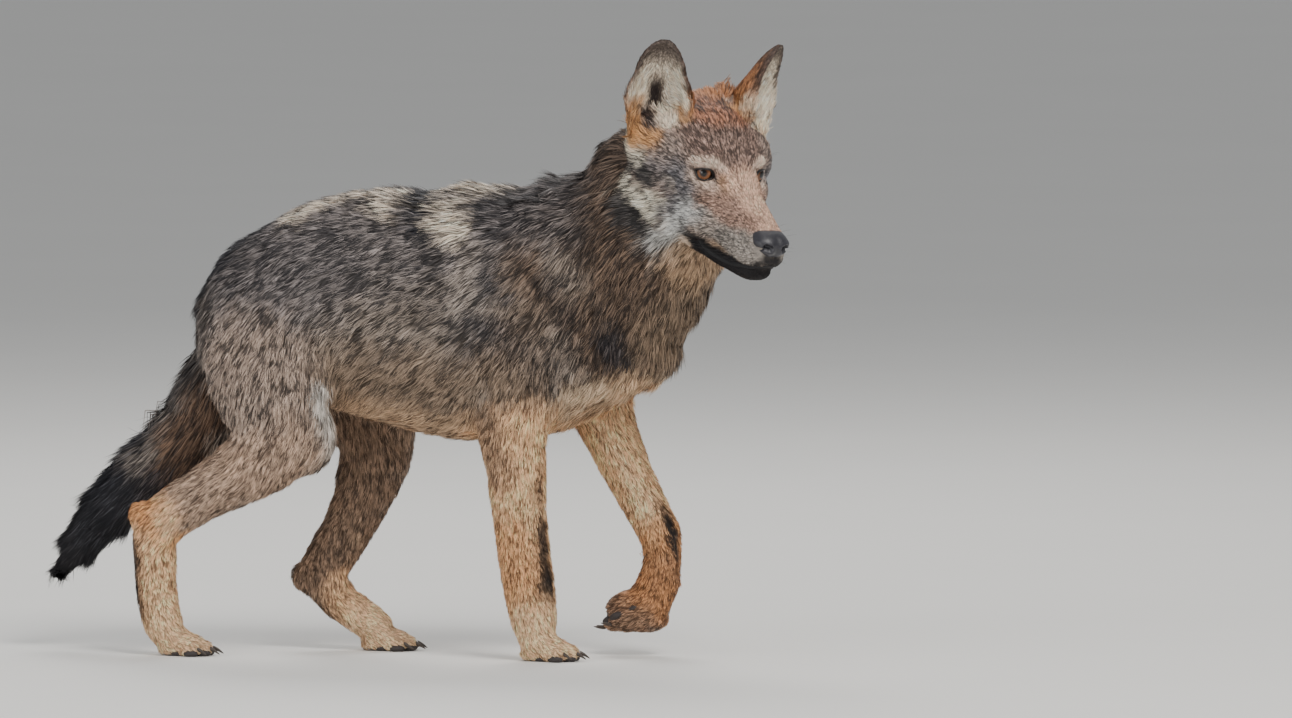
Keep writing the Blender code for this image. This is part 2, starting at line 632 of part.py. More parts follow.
def claw_form(name, frame, tip, splay, length, group):
    """A bent cone that grows from above the toe's pad and points forward and down."""
    root = tip + Vector((0, 0, CLAW_RISE * length))
    place = frame @ Matrix.Translation(root) @ Matrix.Rotation(splay, 4, "Z")
    steps = 4
    rings = []
    for k in range(steps):
        t = k / (steps - 1)
        bend = math.radians(CLAW_BEND[0] + (CLAW_BEND[1] - CLAW_BEND[0]) * t)
        thick = CLAW_THICK[1] + (CLAW_THICK[0] - CLAW_THICK[1]) * (1 - t) ** 0.8
        centre = Vector((CLAW_LENGTH * t - CLAW_ROOT, 0, -CLAW_DROP * t * t))
        up = Vector((math.sin(bend), 0, math.cos(bend)))
        section = ring(centre, Vector((0, 1, 0)), up, thick * 0.72, thick)
        rings.append([place @ p for p in section[::4]])
    return loft(name, rings, group)


# ---- parting -----------------------------------------------------------------------------------
def spaces_of_pieces(group):
    """Each piece's own space, and the same space grown by the gap, to cut the later pieces with."""
    own, room = {}, {}
    for name, *sizes in BOX_CUTS:
        own[name] = cut_box("cut_" + name, *sizes, group)
        room[name] = cut_box("room_" + name, *sizes, group, PART_GAP)
    for name, *sizes in LEG_CUTS:
        own[name] = leg_wedge("cut_" + name, *sizes, group)
        room[name] = leg_wedge("room_" + name, *sizes, group, PART_GAP)
    name, point, way, *sizes = HEAD_CUT
    placed = (head_frame() @ Vector(point), head_frame().to_3x3() @ Vector(way))
    own[name] = cut_box("cut_" + name, *placed, *sizes, group)
    room[name] = cut_box("room_" + name, *placed, *sizes, group, PART_GAP)
    name, *sizes = NECK_CUT
    own[name] = cut_box("cut_" + name, *sizes, group)
    room[name] = cut_box("room_" + name, *sizes, group, PART_GAP)
    return own, room


def piece(name, body, kept_share, finish, group):
    """A copy of the whole body with fewer triangles, ready to be cut."""
    obj = add_object(name, body.data.copy(), group, finish)
    thin_out(obj, kept_share)
    return obj


def part_body(body, floor, cutters, group):
    own, room = spaces_of_pieces(cutters)
    pieces, before = {}, []
    for name in (*own, "trunk"):
        kind = name.split("_")[0]
        share = TRIANGLE_SHARE["paw" if "paw" in kind else "leg" if "leg" in kind else kind]
        finish = "coat_tan" if "paw" in kind or "foreleg" in kind else "coat_grey"
        obj = piece(name, body, share, finish, group)
        if name in own:
            boolean(obj, own[name], "INTERSECT")
        for earlier in before:
            boolean(obj, room[earlier], "DIFFERENCE")
        if "paw" in kind:
            boolean(obj, floor, "DIFFERENCE")
        before.append(name)
        pieces[name] = obj
    return pieces


def keep_only_main_body(obj):
    """Applies obj's modifiers and drops the crumbs that a cut leaves beside the piece."""
    mesh = evaluated_mesh(obj)
    obj.modifiers.clear()
    obj.matrix_world = Matrix()
    bm = bmesh.new()
    bm.from_mesh(mesh)
    unseen = set(bm.verts)
    islands = []
    while unseen:
        todo, island = [unseen.pop()], []
        while todo:
            vertex = todo.pop()
            island.append(vertex)
            near = {e.other_vert(vertex) for e in vertex.link_edges} & unseen
            unseen -= near
            todo.extend(near)
        islands.append(island)
    largest = max(islands, key=len)
    for island in islands:
        if island is not largest:
            bmesh.ops.delete(bm, geom=island, context="VERTS")
    bm.to_mesh(mesh)
    bm.free()
    obj.data = mesh


def trimmed(name, form, carriers, finish, group, cutters, gap=PART_GAP):
    """A piece made apart, cut back to clear the pieces that carry it."""
    obj = add_object(name, evaluated_mesh(form), group, finish)
    for carrier in carriers:
        boolean(obj, grown(carrier, cutters, gap), "DIFFERENCE")
    keep_only_main_body(obj)
    return obj


def centre_on_floor(objects):
    """Moves the model so that the middle of its box, seen from above, is the origin."""
    bpy.context.view_layer.update()
    corners = np.array([v.co[:] for obj in objects for v in evaluated_mesh(obj).vertices])
    middle = (corners.min(axis=0) + corners.max(axis=0)) / 2
    shift = Matrix.Translation((-middle[0], -middle[1], 0.0))
    for obj in objects:
        obj.matrix_world = shift @ obj.matrix_world


def main():
    clear_scene()
    wolf = collection("wolf")
    forms = collection("forms", hidden=True)
    cutters = collection("cutters", hidden=True)

    body = fused("body_form", body_forms(forms), forms, VOXEL, 26, calm_places, 4)
    floor = cut_box("below_floor", (0, 0, 0), (0, 0, -1), 1.0, 1.0, 0.2, cutters)
    pieces = part_body(body, floor, cutters, wolf)

    eyes = [eyeball(side, wolf) for side in (-1, 1)]
    for eye in eyes:
        boolean(pieces["head"], grown(eye, cutters, PART_GAP), "DIFFERENCE")
    for obj in pieces.values():
        keep_only_main_body(obj)

    head, neck, trunk = pieces["head"], pieces["neck"], pieces["trunk"]
    made = [*pieces.values(), *eyes]
    jaw = fused("jaw_form", [upright_loft("jaw_loft", JAW, forms, head_frame(), power=2.3)], forms, 0.003, 3)
    thin_out(jaw, FINE_SHARE)
    made.append(trimmed("lower_jaw", jaw, (head, neck), "coat_grey", wolf, cutters))

    nose = nose_form(forms)
    thin_out(nose, FINE_SHARE)
    made.append(trimmed("nose", nose, (head,), "nose_leather", wolf, cutters))

    for side, name in ((-1, "ear_right"), (1, "ear_left")):
        made.append(trimmed(name, ear_form(name, side, forms), (head, neck), "coat_grey", wolf, cutters))

    tail = fused("tail_form", [path_loft("tail_loft", TAIL, forms)], forms, 0.005, 4)
    thin_out(tail, FINE_SHARE)
    carriers = (trunk, pieces["hindleg_right"], pieces["hindleg_left"])
    made.append(trimmed("tail", tail, carriers, "coat_dark", wolf, cutters))

    for paw in PAWS:
        for n, (frame, tip, splay, length) in enumerate(toe_tips(paw)):
            name = f"claw_{paw}_{n + 1}"
            form = claw_form(name + "_form", frame, tip, splay, length, forms)
            made.append(trimmed(name, form, (pieces[paw],), "claw_horn", wolf, cutters, CLAW_GAP))

    centre_on_floor(made)
    for obj in made:
        obj.data.shade_smooth()
        obj.data.set_sharp_from_angle(angle=math.radians(50))


main()
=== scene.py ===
"""A young grey wolf at a walk, dressed in its coat, as a still museum model.

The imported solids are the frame. One skin takes the place of the solids of flesh and lies under
them by the depth of the coat. Lids, eyes, nose, lips, claws and pads are modelled on it, and the
coat is thin tapering locks of hair that follow the lie of the fur.
"""

import math

import bmesh
import bpy
import numpy as np
from mathutils import Matrix, Vector
from mathutils.bvhtree import BVHTree
from mathutils.kdtree import KDTree


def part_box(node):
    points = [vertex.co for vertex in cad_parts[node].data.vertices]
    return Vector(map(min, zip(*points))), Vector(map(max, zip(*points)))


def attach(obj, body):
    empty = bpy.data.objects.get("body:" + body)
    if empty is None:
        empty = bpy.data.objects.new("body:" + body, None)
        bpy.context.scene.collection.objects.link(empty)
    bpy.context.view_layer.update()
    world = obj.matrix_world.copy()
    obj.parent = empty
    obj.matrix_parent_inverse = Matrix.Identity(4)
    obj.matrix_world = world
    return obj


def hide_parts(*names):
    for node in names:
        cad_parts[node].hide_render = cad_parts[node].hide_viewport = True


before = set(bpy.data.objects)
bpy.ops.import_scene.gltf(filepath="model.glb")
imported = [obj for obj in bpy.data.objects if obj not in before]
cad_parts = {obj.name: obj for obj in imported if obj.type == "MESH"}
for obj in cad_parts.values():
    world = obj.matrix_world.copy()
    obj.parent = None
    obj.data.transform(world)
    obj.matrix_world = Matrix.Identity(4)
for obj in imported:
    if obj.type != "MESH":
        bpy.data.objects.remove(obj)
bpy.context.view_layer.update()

bl_info = {
    "name": "Young grey wolf",
    "version": (1, 0, 0),
    "blender": (4, 5, 0),
    "location": "3D View > Sidebar > Wolf",
    "description": "Dresses the frame of a walking young wolf in skin, features and coat",
    "category": "Add Mesh",
}

MM = 0.001
PAWS = ("forepaw_right", "forepaw_left", "hindpaw_right", "hindpaw_left")
LEGS = ("foreleg_left", "foreleg_right", "hindleg_left", "hindleg_right")
FLESH = ("head", "lower_jaw", "ear_left", "ear_right", "neck", "trunk", *LEGS, "tail", *PAWS)
# The head's own frame: forward, left and up from the point between the eyes.
HEAD_AT = Vector((0.396, -0.085, 0.597))
HEAD_TURN, HEAD_DIP, HEAD_TILT = -45.0, 16.5, -3.0
EYE_CENTRE = (-0.0095, 0.036, 0.0)
EYE_RADIUS = 0.0118
IRIS_ARC, PUPIL_ARC = 49.0, 17.0
LID_FACES = (0.70, 0.70, 0.12)
GAZE = {-1: (0.737, -0.663, 0.13), 1: (0.92, 0.37, 0.12)}
# The opening between the lids, in millimetres toward the nose and up, from the inner corner.
LID_SHAPE = (
    (11.2, -2.6),
    (8.8, 3.4),
    (4.6, 4.9),
    (-0.9, 4.3),
    (-6.3, 2.5),
    (-10.2, 0.3),
    (-7.3, -4.2),
    (-3.2, -7.0),
    (2.2, -7.8),
    (7.6, -6.6),
)
EAR_ROOT = (-0.088, 0.060, 0.018)
EAR_LEANS = {-1: 8.0, 1: 16.0}
EAR_FACES = (0.80, 0.60, 0.0)
EAR_LENGTH = 0.123
EAR_HALF_WIDTH = 0.040
EAR_SPREAD = 0.27
SKIN_TRIANGLES = 150000
COAT_SHARE, QUICK_COAT_SHARE = 0.565, 0.16
LOCKS_IN_A_PIECE = 66000
PATCH_HALF = 0.0015  # half the patch that a lock takes up on the unwrap
BARE_LID = (0.9, 4.6, 0.42, 260)  # depth, length, width and locks on the lids
WHISKER_ROWS, WHISKERS_IN_A_ROW = 4, 5
MIDDLE_WHISKER = 0.04  # length of the whisker whose thickness is the one set
CAMERA_LENS, CAMERA_DISTANCE = 800, 35.02
AIM_RIGHT, AIM_UP = 0.2634, 0.3610


def head_turn():
    turn = Matrix.Rotation(math.radians(HEAD_TURN), 4, "Z")
    dip = Matrix.Rotation(math.radians(HEAD_DIP), 4, "Y")
    return turn @ dip @ Matrix.Rotation(math.radians(HEAD_TILT), 4, "X")


def frame_shift():
    """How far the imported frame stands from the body's own origin, read off the right eyeball."""
    low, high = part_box("eye_right")
    x, y, z = EYE_CENTRE
    return (low + high) / 2 - (Matrix.Translation(HEAD_AT) @ head_turn()) @ Vector((x, -y, z))


SHIFT = frame_shift()
HEAD = Matrix.Translation(SHIFT + HEAD_AT) @ head_turn()

# ---- the coat's colours: light hairs, dark hairs, share of dark hairs ---------------------------
PALETTE = {
    "grizzle": ((160, 146, 134), (30, 29, 32), 0.52),
    "saddle": ((138, 130, 128), (22, 23, 29), 0.62),
    "raven": ((76, 75, 80), (17, 18, 25), 0.90),
    "cream": ((252, 234, 212), (36, 34, 38), 0.24),
    # Brown neck fur, its colour also darkened as painted shade, most where the neck lies under the
    # head.
    "neck_brown": ((120, 99, 83), (28, 24, 24), 0.62),
    "pale_streak": ((184, 170, 156), (52, 48, 48), 0.28),
    "fawn": ((150, 128, 107), (52, 44, 38), 0.28),
    "tan": ((206, 172, 138), (76, 58, 44), 0.18),
    "brisket": ((232, 206, 176), (90, 70, 54), 0.12),
    "thigh": ((188, 166, 150), (38, 36, 37), 0.42),
    "fold": ((216, 210, 202), (100, 94, 90), 0.12),
    "leg_tan": ((252, 204, 158), (104, 70, 48), 0.18),
    "leg_pale": ((255, 216, 176), (110, 84, 66), 0.10),
    "gaskin": ((200, 170, 146), (70, 54, 46), 0.26),
    "leg_brown": ((150, 122, 100), (54, 43, 37), 0.34),
    "orange": ((222, 152, 92), (84, 52, 36), 0.20),
    "paw": ((255, 212, 170), (190, 150, 112), 0.05),
    "stripe": ((72, 66, 62), (22, 22, 24), 0.92),
    "tail_grey": ((136, 126, 118), (48, 44, 44), 0.45),
    "tail_brown": ((120, 92, 72), (38, 30, 27), 0.48),
    "rust": ((196, 136, 92), (60, 40, 32), 0.28),
    "crown": ((196, 138, 108), (36, 27, 28), 0.50),
    "ear_tan": ((218, 164, 110), (90, 58, 40), 0.18),
    "forehead": ((180, 150, 136), (26, 23, 24), 0.60),
    "brow": ((255, 228, 208), (120, 92, 74), 0.05),
    "face": ((180, 160, 148), (36, 33, 35), 0.48),
    "slate": ((128, 127, 131), (28, 28, 34), 0.58),
    "muzzle": ((245, 202, 176), (84, 58, 50), 0.22),
    "muzzle_brown": ((200, 162, 142), (42, 33, 32), 0.44),
    "muzzle_grey": ((188, 178, 168), (46, 44, 45), 0.40),
    "cheek_white": ((210, 209, 205), (66, 64, 66), 0.20),
    "ruff_cream": ((236, 226, 206), (48, 45, 45), 0.28),
    "ruff_black": ((92, 88, 86), (22, 21, 24), 0.84),
    "ear_cream": ((255, 238, 216), (110, 92, 80), 0.06),
    "ear_dark": ((96, 82, 76), (46, 38, 36), 0.70),
    # The ear canal's dark is painted shade in the hollow of the ear.
    "canal_shade": ((64, 50, 48), (34, 26, 26), 0.85),
    "lip": ((44, 40, 42), (22, 20, 22), 0.95),
    "pad": ((38, 36, 38), (22, 21, 23), 0.95),
}
# ---- markings: finish, side, from, to, radius, fade, strength ----------------------------------
# "both" marks lie on both sides of the body, "right" and "left" on one. Millimetres, body's frame.
BODY_MARKS = (
    ("saddle", "both", (-200, 30, 520), (140, 40, 550), 65, 60, 0.85),
    ("saddle", "both", (-240, 50, 430), (-160, 55, 490), 60, 60, 0.9),
    ("raven", "both", (-280, 10, 430), (-255, 10, 480), 22, 40, 0.9),
    ("raven", "both", (-255, 10, 480), (-200, 10, 525), 8, 26, 0.7),
    ("cream", "both", (-150, 30, 545), (-120, 25, 555), 8, 18, 0.9),
    ("cream", "both", (-100, 10, 562), (-30, 20, 568), 6, 18, 0.75),
    ("cream", "both", (-35, 40, 548), (-12, 30, 562), 8, 20, 0.85),
    ("raven", "both", (12, 15, 572), (18, 68, 528), 10, 16, 1),
    ("cream", "both", (36, 40, 560), (56, 66, 532), 12, 18, 1),
    ("cream", "both", (50, 12, 574), (115, 20, 572), 6, 18, 0.9),
    ("raven", "both", (95, 60, 548), (150, 30, 566), 8, 20, 0.6),
    ("raven", "both", (150, 70, 550), (185, 60, 575), 16, 40, 0.65),
    ("saddle", "both", (120, 85, 520), (100, 93, 400), 20, 40, 0.8),
    ("raven", "both", (108, 90, 470), (88, 94, 425), 4, 24, 0.5),
    ("raven", "both", (50, 92, 440), (75, 94, 400), 4, 30, 0.3),
    ("pale_streak", "both", (80, 88, 500), (70, 93, 440), 4, 22, 0.5),
    ("fawn", "both", (130, 88, 490), (150, 90, 440), 12, 28, 0.6),
    ("neck_brown", "both", (215, 80, 510), (280, 75, 430), 60, 50, 0.95),
    ("raven", "both", (188, 86, 480), (205, 84, 430), 4, 26, 0.55),
    ("pale_streak", "both", (180, 82, 515), (240, 80, 430), 8, 22, 0.65),
    ("saddle", "both", (170, 60, 575), (225, 50, 610), 40, 50, 0.75),
    ("neck_brown", "both", (235, 75, 440), (262, 56, 370), 22, 36, 0.9),
    ("raven", "both", (240, 72, 410), (262, 56, 382), 3, 22, 0.8),
    ("raven", "both", (262, 56, 382), (284, 38, 366), 3, 20, 0.8),
    ("fawn", "both", (325, 15, 450), (315, 20, 400), 30, 36, 0.9),
    ("fawn", "both", (300, 40, 440), (290, 40, 390), 20, 30, 0.6),
    ("brisket", "both", (290, 0, 352), (268, 35, 342), 14, 22, 0.9),
    ("tan", "both", (255, 20, 335), (150, 30, 295), 30, 36, 0.9),
    ("brisket", "both", (230, 55, 340), (172, 66, 312), 10, 24, 0.75),
    ("neck_brown", "both", (140, 90, 380), (130, 93, 310), 25, 40, 0.6),
    ("fawn", "both", (-110, 60, 330), (100, 70, 320), 34, 60, 0.85),
    ("tan", "both", (-160, 20, 300), (130, 20, 268), 34, 34, 0.75),
    ("pale_streak", "both", (85, 85, 330), (90, 85, 290), 6, 16, 0.5),
    ("thigh", "both", (-205, 85, 350), (-175, 95, 275), 50, 60, 0.95),
    ("thigh", "left", (-120, 85, 350), (-85, 90, 270), 50, 50, 0.9),
    ("fold", "right", (-117, 80, 340), (-104, 72, 262), 2, 14, 0.95),
    ("fold", "left", (-60, 76, 345), (-38, 70, 275), 2, 14, 0.9),
    ("leg_brown", "right", (-240, 67, 245), (-170, 67, 225), 24, 30, 0.6),
    ("gaskin", "right", (-160, 66, 262), (-280, 66, 195), 30, 34, 0.9),
    ("leg_tan", "right", (-325, 66, 170), (-325, 66, 100), 26, 30, 1),
    ("orange", "right", (-345, 66, 185), (-310, 66, 150), 12, 24, 0.75),
    ("leg_pale", "right", (-315, 75, 172), (-305, 80, 160), 6, 12, 0.8),
    ("leg_tan", "right", (-325, 66, 100), (-318, 66, 40), 30, 30, 1),
    ("tail_brown", "right", (-354, 66, 140), (-346, 66, 60), 10, 13, 0.95),
    ("stripe", "right", (-356, 66, 122), (-354, 66, 75), 3, 10, 0.8),
    ("leg_brown", "left", (-95, 62, 260), (-130, 62, 130), 45, 40, 0.95),
    ("leg_pale", "left", (-78, 62, 240), (-110, 62, 130), 8, 14, 0.6),
    ("leg_brown", "left", (-155, 62, 95), (-130, 62, 62), 24, 24, 0.9),
    ("leg_tan", "left", (-120, 62, 70), (-90, 62, 45), 20, 24, 0.9),
    ("tail_brown", "left", (-165, 62, 75), (-130, 62, 40), 7, 10, 0.9),
    ("leg_tan", "right", (125, 62, 265), (140, 58, 60), 45, 40, 1),
    ("leg_brown", "right", (92, 82, 300), (98, 78, 240), 12, 24, 0.7),
    ("leg_pale", "right", (82, 60, 260), (102, 55, 80), 8, 14, 0.8),
    ("orange", "right", (115, 62, 150), (130, 58, 60), 20, 30, 0.5),
    ("stripe", "right", (158, 75, 255), (155, 76, 180), 1, 7, 0.6),
    ("stripe", "right", (157, 72, 170), (162, 66, 90), 4, 9, 0.82),
    ("stripe", "right", (160, 72, 100), (160, 70, 82), 6, 8, 0.8),
    ("leg_tan", "left", (190, 52, 310), (262, 52, 180), 42, 40, 1),
    ("orange", "left", (290, 52, 132), (276, 50, 85), 28, 36, 0.65),
    ("leg_pale", "left", (205, 30, 290), (262, 30, 185), 6, 14, 0.5),
    ("stripe", "left", (285, 34, 196), (298, 34, 134), 4.5, 7, 0.95),
    ("orange", "left", (268, 50, 70), (236, 50, 45), 30, 24, 0.35),
    ("leg_brown", "left", (262, 28, 52), (236, 30, 34), 8, 14, 0.5),
    ("paw", "right", (150, 56, 35), (180, 56, 15), 36, 26, 0.95),
    ("paw", "right", (-300, 64, 30), (-270, 64, 15), 34, 26, 0.9),
    ("paw", "left", (-75, 62, 25), (-40, 62, 15), 34, 24, 0.9),
    ("raven", "right", (-262, 0, 455), (-308, -4, 350), 16, 26, 0.9),
    ("tail_grey", "both", (-262, 20, 420), (-330, 20, 262), 40, 30, 0.9),
    ("tail_brown", "both", (-262, 20, 330), (-318, 20, 215), 18, 26, 0.9),
    ("raven", "both", (-268, 12, 470), (-372, 10, 262), 9, 24, 0.95),
    ("raven", "both", (-385, 14, 205), (-474, 18, 86), 34, 26, 1),
    ("lip", "both", (-412, 14, 165), (-474, 18, 86), 30, 30, 0.75),
    ("raven", "both", (-340, 14, 215), (-400, 18, 160), 20, 26, 0.85),
)
# The same on both sides of the head, in its own frame.
HEAD_MARKS = (
    # Painted shade behind the cheek, under the head, over the neck's own brown.
    ("neck_brown", (-120, 60, -20), (-80, 60, -110), 40, 40, 0.9),
    ("face", (-60, 62, 10), (30, 30, -40), 30, 40, 1),
    ("forehead", (-50, 20, 55), (0, 12, 26), 30, 26, 1),
    ("forehead", (10, 6, 10), (30, 6, 0), 10, 16, 0.8),
    ("crown", (-98, 10, 74), (-58, 12, 70), 24, 22, 0.95),
    ("crown", (-120, 30, 60), (-90, 35, 72), 20, 24, 0.7),
    ("stripe", (-85, 28, 74), (-58, 20, 66), 4, 9, 0.7),
    ("brow", (-13, 48, 10), (2, 33, 16), 4.2, 5.5, 0.95),
    ("brow", (4, 30, 14), (14, 22, 10), 3, 6, 0.6),
    ("brow", (-16, 53, -9), (6, 40, -12), 3, 8, 0.55),
    ("brow", (10, 34, -12), (20, 30, -16), 4, 10, 0.6),
    ("ear_tan", (18, 24, -4), (30, 26, -14), 5, 10, 0.5),
    ("slate", (-20, 66, -20), (-4, 55, -36), 10, 16, 0.85),
    ("slate", (-45, 74, -10), (-28, 70, -6), 8, 18, 0.6),
    ("pale_streak", (-28, 70, -18), (-20, 64, -30), 2, 6, 0.7),
    ("muzzle", (30, 6, 2), (105, 8, -30), 14, 12, 1),
    ("muzzle_brown", (24, 34, -36), (80, 28, -50), 18, 16, 0.9),
    ("muzzle_grey", (50, 30, -70), (100, 22, -62), 14, 14, 1),
    ("muzzle_grey", (16, 38, -56), (40, 32, -64), 10, 14, 0.8),
    ("cheek_white", (-6, 48, -50), (-26, 46, -84), 12, 16, 1),
    ("cheek_white", (-10, 34, -96), (-50, 50, -92), 10, 16, 0.85),
    ("ruff_black", (-92, 90, -14), (-52, 80, -24), 6, 10, 0.95),
    ("ruff_cream", (-88, 89, -46), (-46, 71, -56), 10, 13, 1),
    ("ruff_black", (-94, 84, -64), (-58, 72, -84), 8, 12, 0.95),
    ("slate", (-30, 64, -60), (-22, 62, -46), 4, 12, 0.6),
    ("ruff_cream", (-100, 90, 4), (-74, 88, 0), 9, 12, 0.9),
    ("ear_tan", (-90, 91, 12), (-55, 77, 19), 7, 11, 0.75),
    ("ear_tan", (-100, 95, 32), (-86, 91, 14), 10, 12, 0.9),
    ("ear_tan", (-70, 40, 60), (-62, 46, 50), 7, 10, 0.85),
    ("ear_tan", (-63, 76, 29), (-70, 82, 20), 6, 10, 0.7),
    ("ear_cream", (-100, 52, 52), (-70, 60, 41), 8, 10, 0.85),
    # Painted shade in the hollow at the foot of the ear.
    ("canal_shade", (-100, 68, 50), (-79, 79, 31), 4.5, 6, 0.9),
    ("rust", (-134, 50, 66), (-106, 10, 74), 14, 16, 0.8),
    ("tan", (-60, 10, -115), (30, 6, -108), 26, 20, 0.8),
    ("ruff_black", (-6, 40, -66), (2, 35, -80), 9, 9, 0.85),
    ("lip", (-4, 37, -76), (10, 30, -88), 5, 6, 1),
    ("lip", (6, 31, -86), (50, 26, -87), 3.5, 4, 1),
    ("lip", (50, 26, -89), (104, 14, -79), 4, 3.5, 1),
    ("lip", (112, 2, -66), (104, 12, -73), 5, 5, 1),
    ("muzzle_grey", (98, 24, -50), (90, 26, -62), 6, 6, 0.8),
    ("lip", (10, 28, -99), (96, 10, -98), 11.5, 6, 1),
    ("lip", (104, 0, -88), (100, 6, -94), 10, 6, 0.9),
    ("lip", (112, 0, -70), (112, 0, -74), 4, 4, 0.8),
)
# On the head's left side alone, where the ear's foot is white.
HEAD_LEFT_MARKS = (
    ("ear_cream", (-100, 97, 36), (-80, 90, 14), 11, 10, 0.95),
)
# ---- the lie of the coat ------------------------------------------------------------------------
# At each place: where, reach, way the hair points, then the coat's depth and the locks' length and
# width, all in millimetres, and locks to a square centimetre. On both sides of the body.
BODY_LIE = (
    ((-285, 15, 415), 10, (-0.35, 0.05, -0.93), 10, 27.9, 1.14, 69),
    ((-250, 30, 480), 10, (-0.65, 0.05, -0.75), 9, 26.2, 1.06, 69),
    ((-190, 20, 530), 10, (-0.93, 0.05, -0.35), 9, 26.2, 1.06, 69),
    ((-90, 20, 562), 10, (-1, 0.05, -0.1), 9, 26.2, 1.06, 69),
    ((20, 20, 566), 10, (-1, 0.05, -0.02), 11, 29.5, 1.06, 69),
    ((100, 20, 568), 10, (-1, 0.08, 0), 13, 32.8, 1.06, 69),
    ((160, 20, 570), 10, (-0.95, 0.08, -0.2), 15, 34.4, 1.06, 69),
    ((-200, 70, 460), 15, (-0.7, 0, -0.7), 8, 23, 0.97, 72),
    ((-100, 75, 470), 15, (-0.88, 0, -0.48), 8, 23.8, 0.97, 72),
    ((10, 85, 470), 15, (-0.9, 0, -0.44), 9, 25.4, 0.97, 72),
    ((80, 88, 480), 15, (-0.8, 0, -0.6), 10, 26.2, 0.97, 72),
    ((150, 85, 480), 15, (-0.62, 0, -0.78), 10, 26.2, 0.97, 72),
    ((-40, 85, 380), 15, (-0.8, 0, -0.6), 9, 26.2, 0.97, 69),
    ((50, 92, 380), 15, (-0.78, 0, -0.62), 9, 26.2, 0.97, 69),
    ((130, 90, 390), 15, (-0.45, 0, -0.9), 8, 23, 0.97, 72),
    ((200, 80, 390), 15, (-0.5, 0, -0.86), 10, 26.2, 0.97, 69),
    ((250, 55, 370), 15, (-0.45, -0.1, -0.88), 12, 29.5, 1.06, 69),
    ((290, 10, 385), 10, (-0.22, 0.05, -0.97), 14, 32.8, 1.06, 69),
    ((210, 30, 315), 10, (-0.85, 0.15, -0.5), 10, 29.5, 1.06, 63),
    ((90, 20, 268), 10, (-0.97, 0.1, -0.22), 8, 26.2, 1.06, 58),
    ((-40, 20, 278), 10, (-0.97, 0.1, -0.18), 8, 24.6, 1.06, 56),
    ((-150, 10, 305), 10, (-0.9, 0.1, 0.1), 6, 19.7, 1.06, 52),
    ((-60, 70, 320), 10, (-0.72, 0, -0.7), 8, 26.2, 0.97, 67),
    ((-110, 74, 320), 8, (-0.25, 0.05, -0.97), 6, 23, 0.97, 72),
    ((-190, 88, 370), 15, (-0.45, 0, -0.89), 7, 19.7, 0.97, 74),
    ((-250, 70, 380), 15, (-0.4, 0, -0.92), 9, 24.6, 0.97, 72),
    ((200, 30, 610), 15, (-0.72, 0.05, -0.7), 14, 32.8, 1.06, 69),
    ((225, 60, 580), 15, (-0.6, 0, -0.8), 14, 31.2, 0.97, 69),
    ((230, 78, 510), 15, (-0.45, 0, -0.9), 14, 31.2, 0.97, 69),
    ((255, 80, 450), 15, (-0.42, 0, -0.9), 13, 29.5, 0.97, 69),
    ((330, 20, 440), 15, (-0.25, 0.05, -0.96), 13, 31.2, 0.97, 69),
    ((310, 45, 430), 15, (-0.32, -0.05, -0.94), 13, 29.5, 0.97, 69),
)
# Down each leg and the tail: side, then place, reach, depth, length, width and locks.
LIMB_LIE = (
    ("right", (
        (140, 60, 330, 40, 7, 19.8, 0.92, 80),
        (121, 62, 250, 36, 5, 14.4, 0.83, 91),
        (127, 60, 178, 31, 4.5, 11.7, 0.78, 99),
        (135, 57, 100, 29, 4, 9.9, 0.74, 108),
        (142, 56, 50, 26, 3.5, 9, 0.69, 119),
        (160, 56, 20, 26, 2.6, 7.2, 0.64, 130),
        (195, 55, 5, 10, 2.2, 5.4, 0.6, 130),
    )),
    ("left", (
        (180, 52, 340, 40, 7, 19.8, 0.92, 80),
        (212, 53, 276, 35, 5, 14.4, 0.83, 91),
        (240, 53, 214, 28, 4.5, 11.7, 0.78, 99),
        (276, 51, 147, 26, 4, 9.9, 0.74, 108),
        (276, 50, 90, 25, 3.5, 9, 0.69, 119),
        (247, 50, 53, 26, 2.6, 7.2, 0.64, 130),
        (212, 50, 56, 12, 2.2, 5.4, 0.6, 130),
    )),
    ("right", (
        (-185, 64, 330, 50, 7, 19.8, 0.92, 78),
        (-190, 66, 260, 45, 6, 17.1, 0.92, 84),
        (-240, 67, 215, 34, 5, 14.4, 0.83, 91),
        (-315, 66, 165, 28, 4, 10.8, 0.78, 104),
        (-328, 65, 105, 23, 3.8, 9.9, 0.74, 108),
        (-318, 64, 45, 24, 3.2, 8.1, 0.69, 119),
        (-295, 64, 18, 24, 2.6, 7.2, 0.64, 130),
        (-255, 61, 4, 10, 2.2, 5.4, 0.6, 130),
    )),
    ("left", (
        (-125, 60, 340, 50, 7, 19.8, 0.92, 78),
        (-90, 62, 262, 45, 6, 17.1, 0.92, 84),
        (-105, 63, 175, 36, 5, 13.5, 0.83, 91),
        (-143, 62, 102, 30, 4, 10.8, 0.78, 104),
        (-112, 60, 52, 23, 3.6, 9, 0.74, 112),
        (-80, 60, 24, 24, 2.6, 7.2, 0.64, 130),
        (-28, 64, 4, 10, 2.2, 5.4, 0.6, 130),
    )),
    ("mid", (
        (-226, 0, 478, 26, 9, 28.8, 1.1, 65),
        (-254, 4, 422, 29, 12, 34.2, 1.2, 65),
        (-270, 10, 343, 34, 15, 39.6, 1.29, 67),
        (-311, 16, 257, 40, 18, 43.2, 1.38, 71),
        (-372, 18, 204, 34, 16, 41.4, 1.38, 82),
        (-414, 18, 161, 28, 14, 37.8, 1.38, 97),
        (-449, 18, 117, 16, 9, 28.8, 1.29, 130),
        (-474, 18, 86, 4, 2.5, 12.6, 1.1, 173),
    )),
)
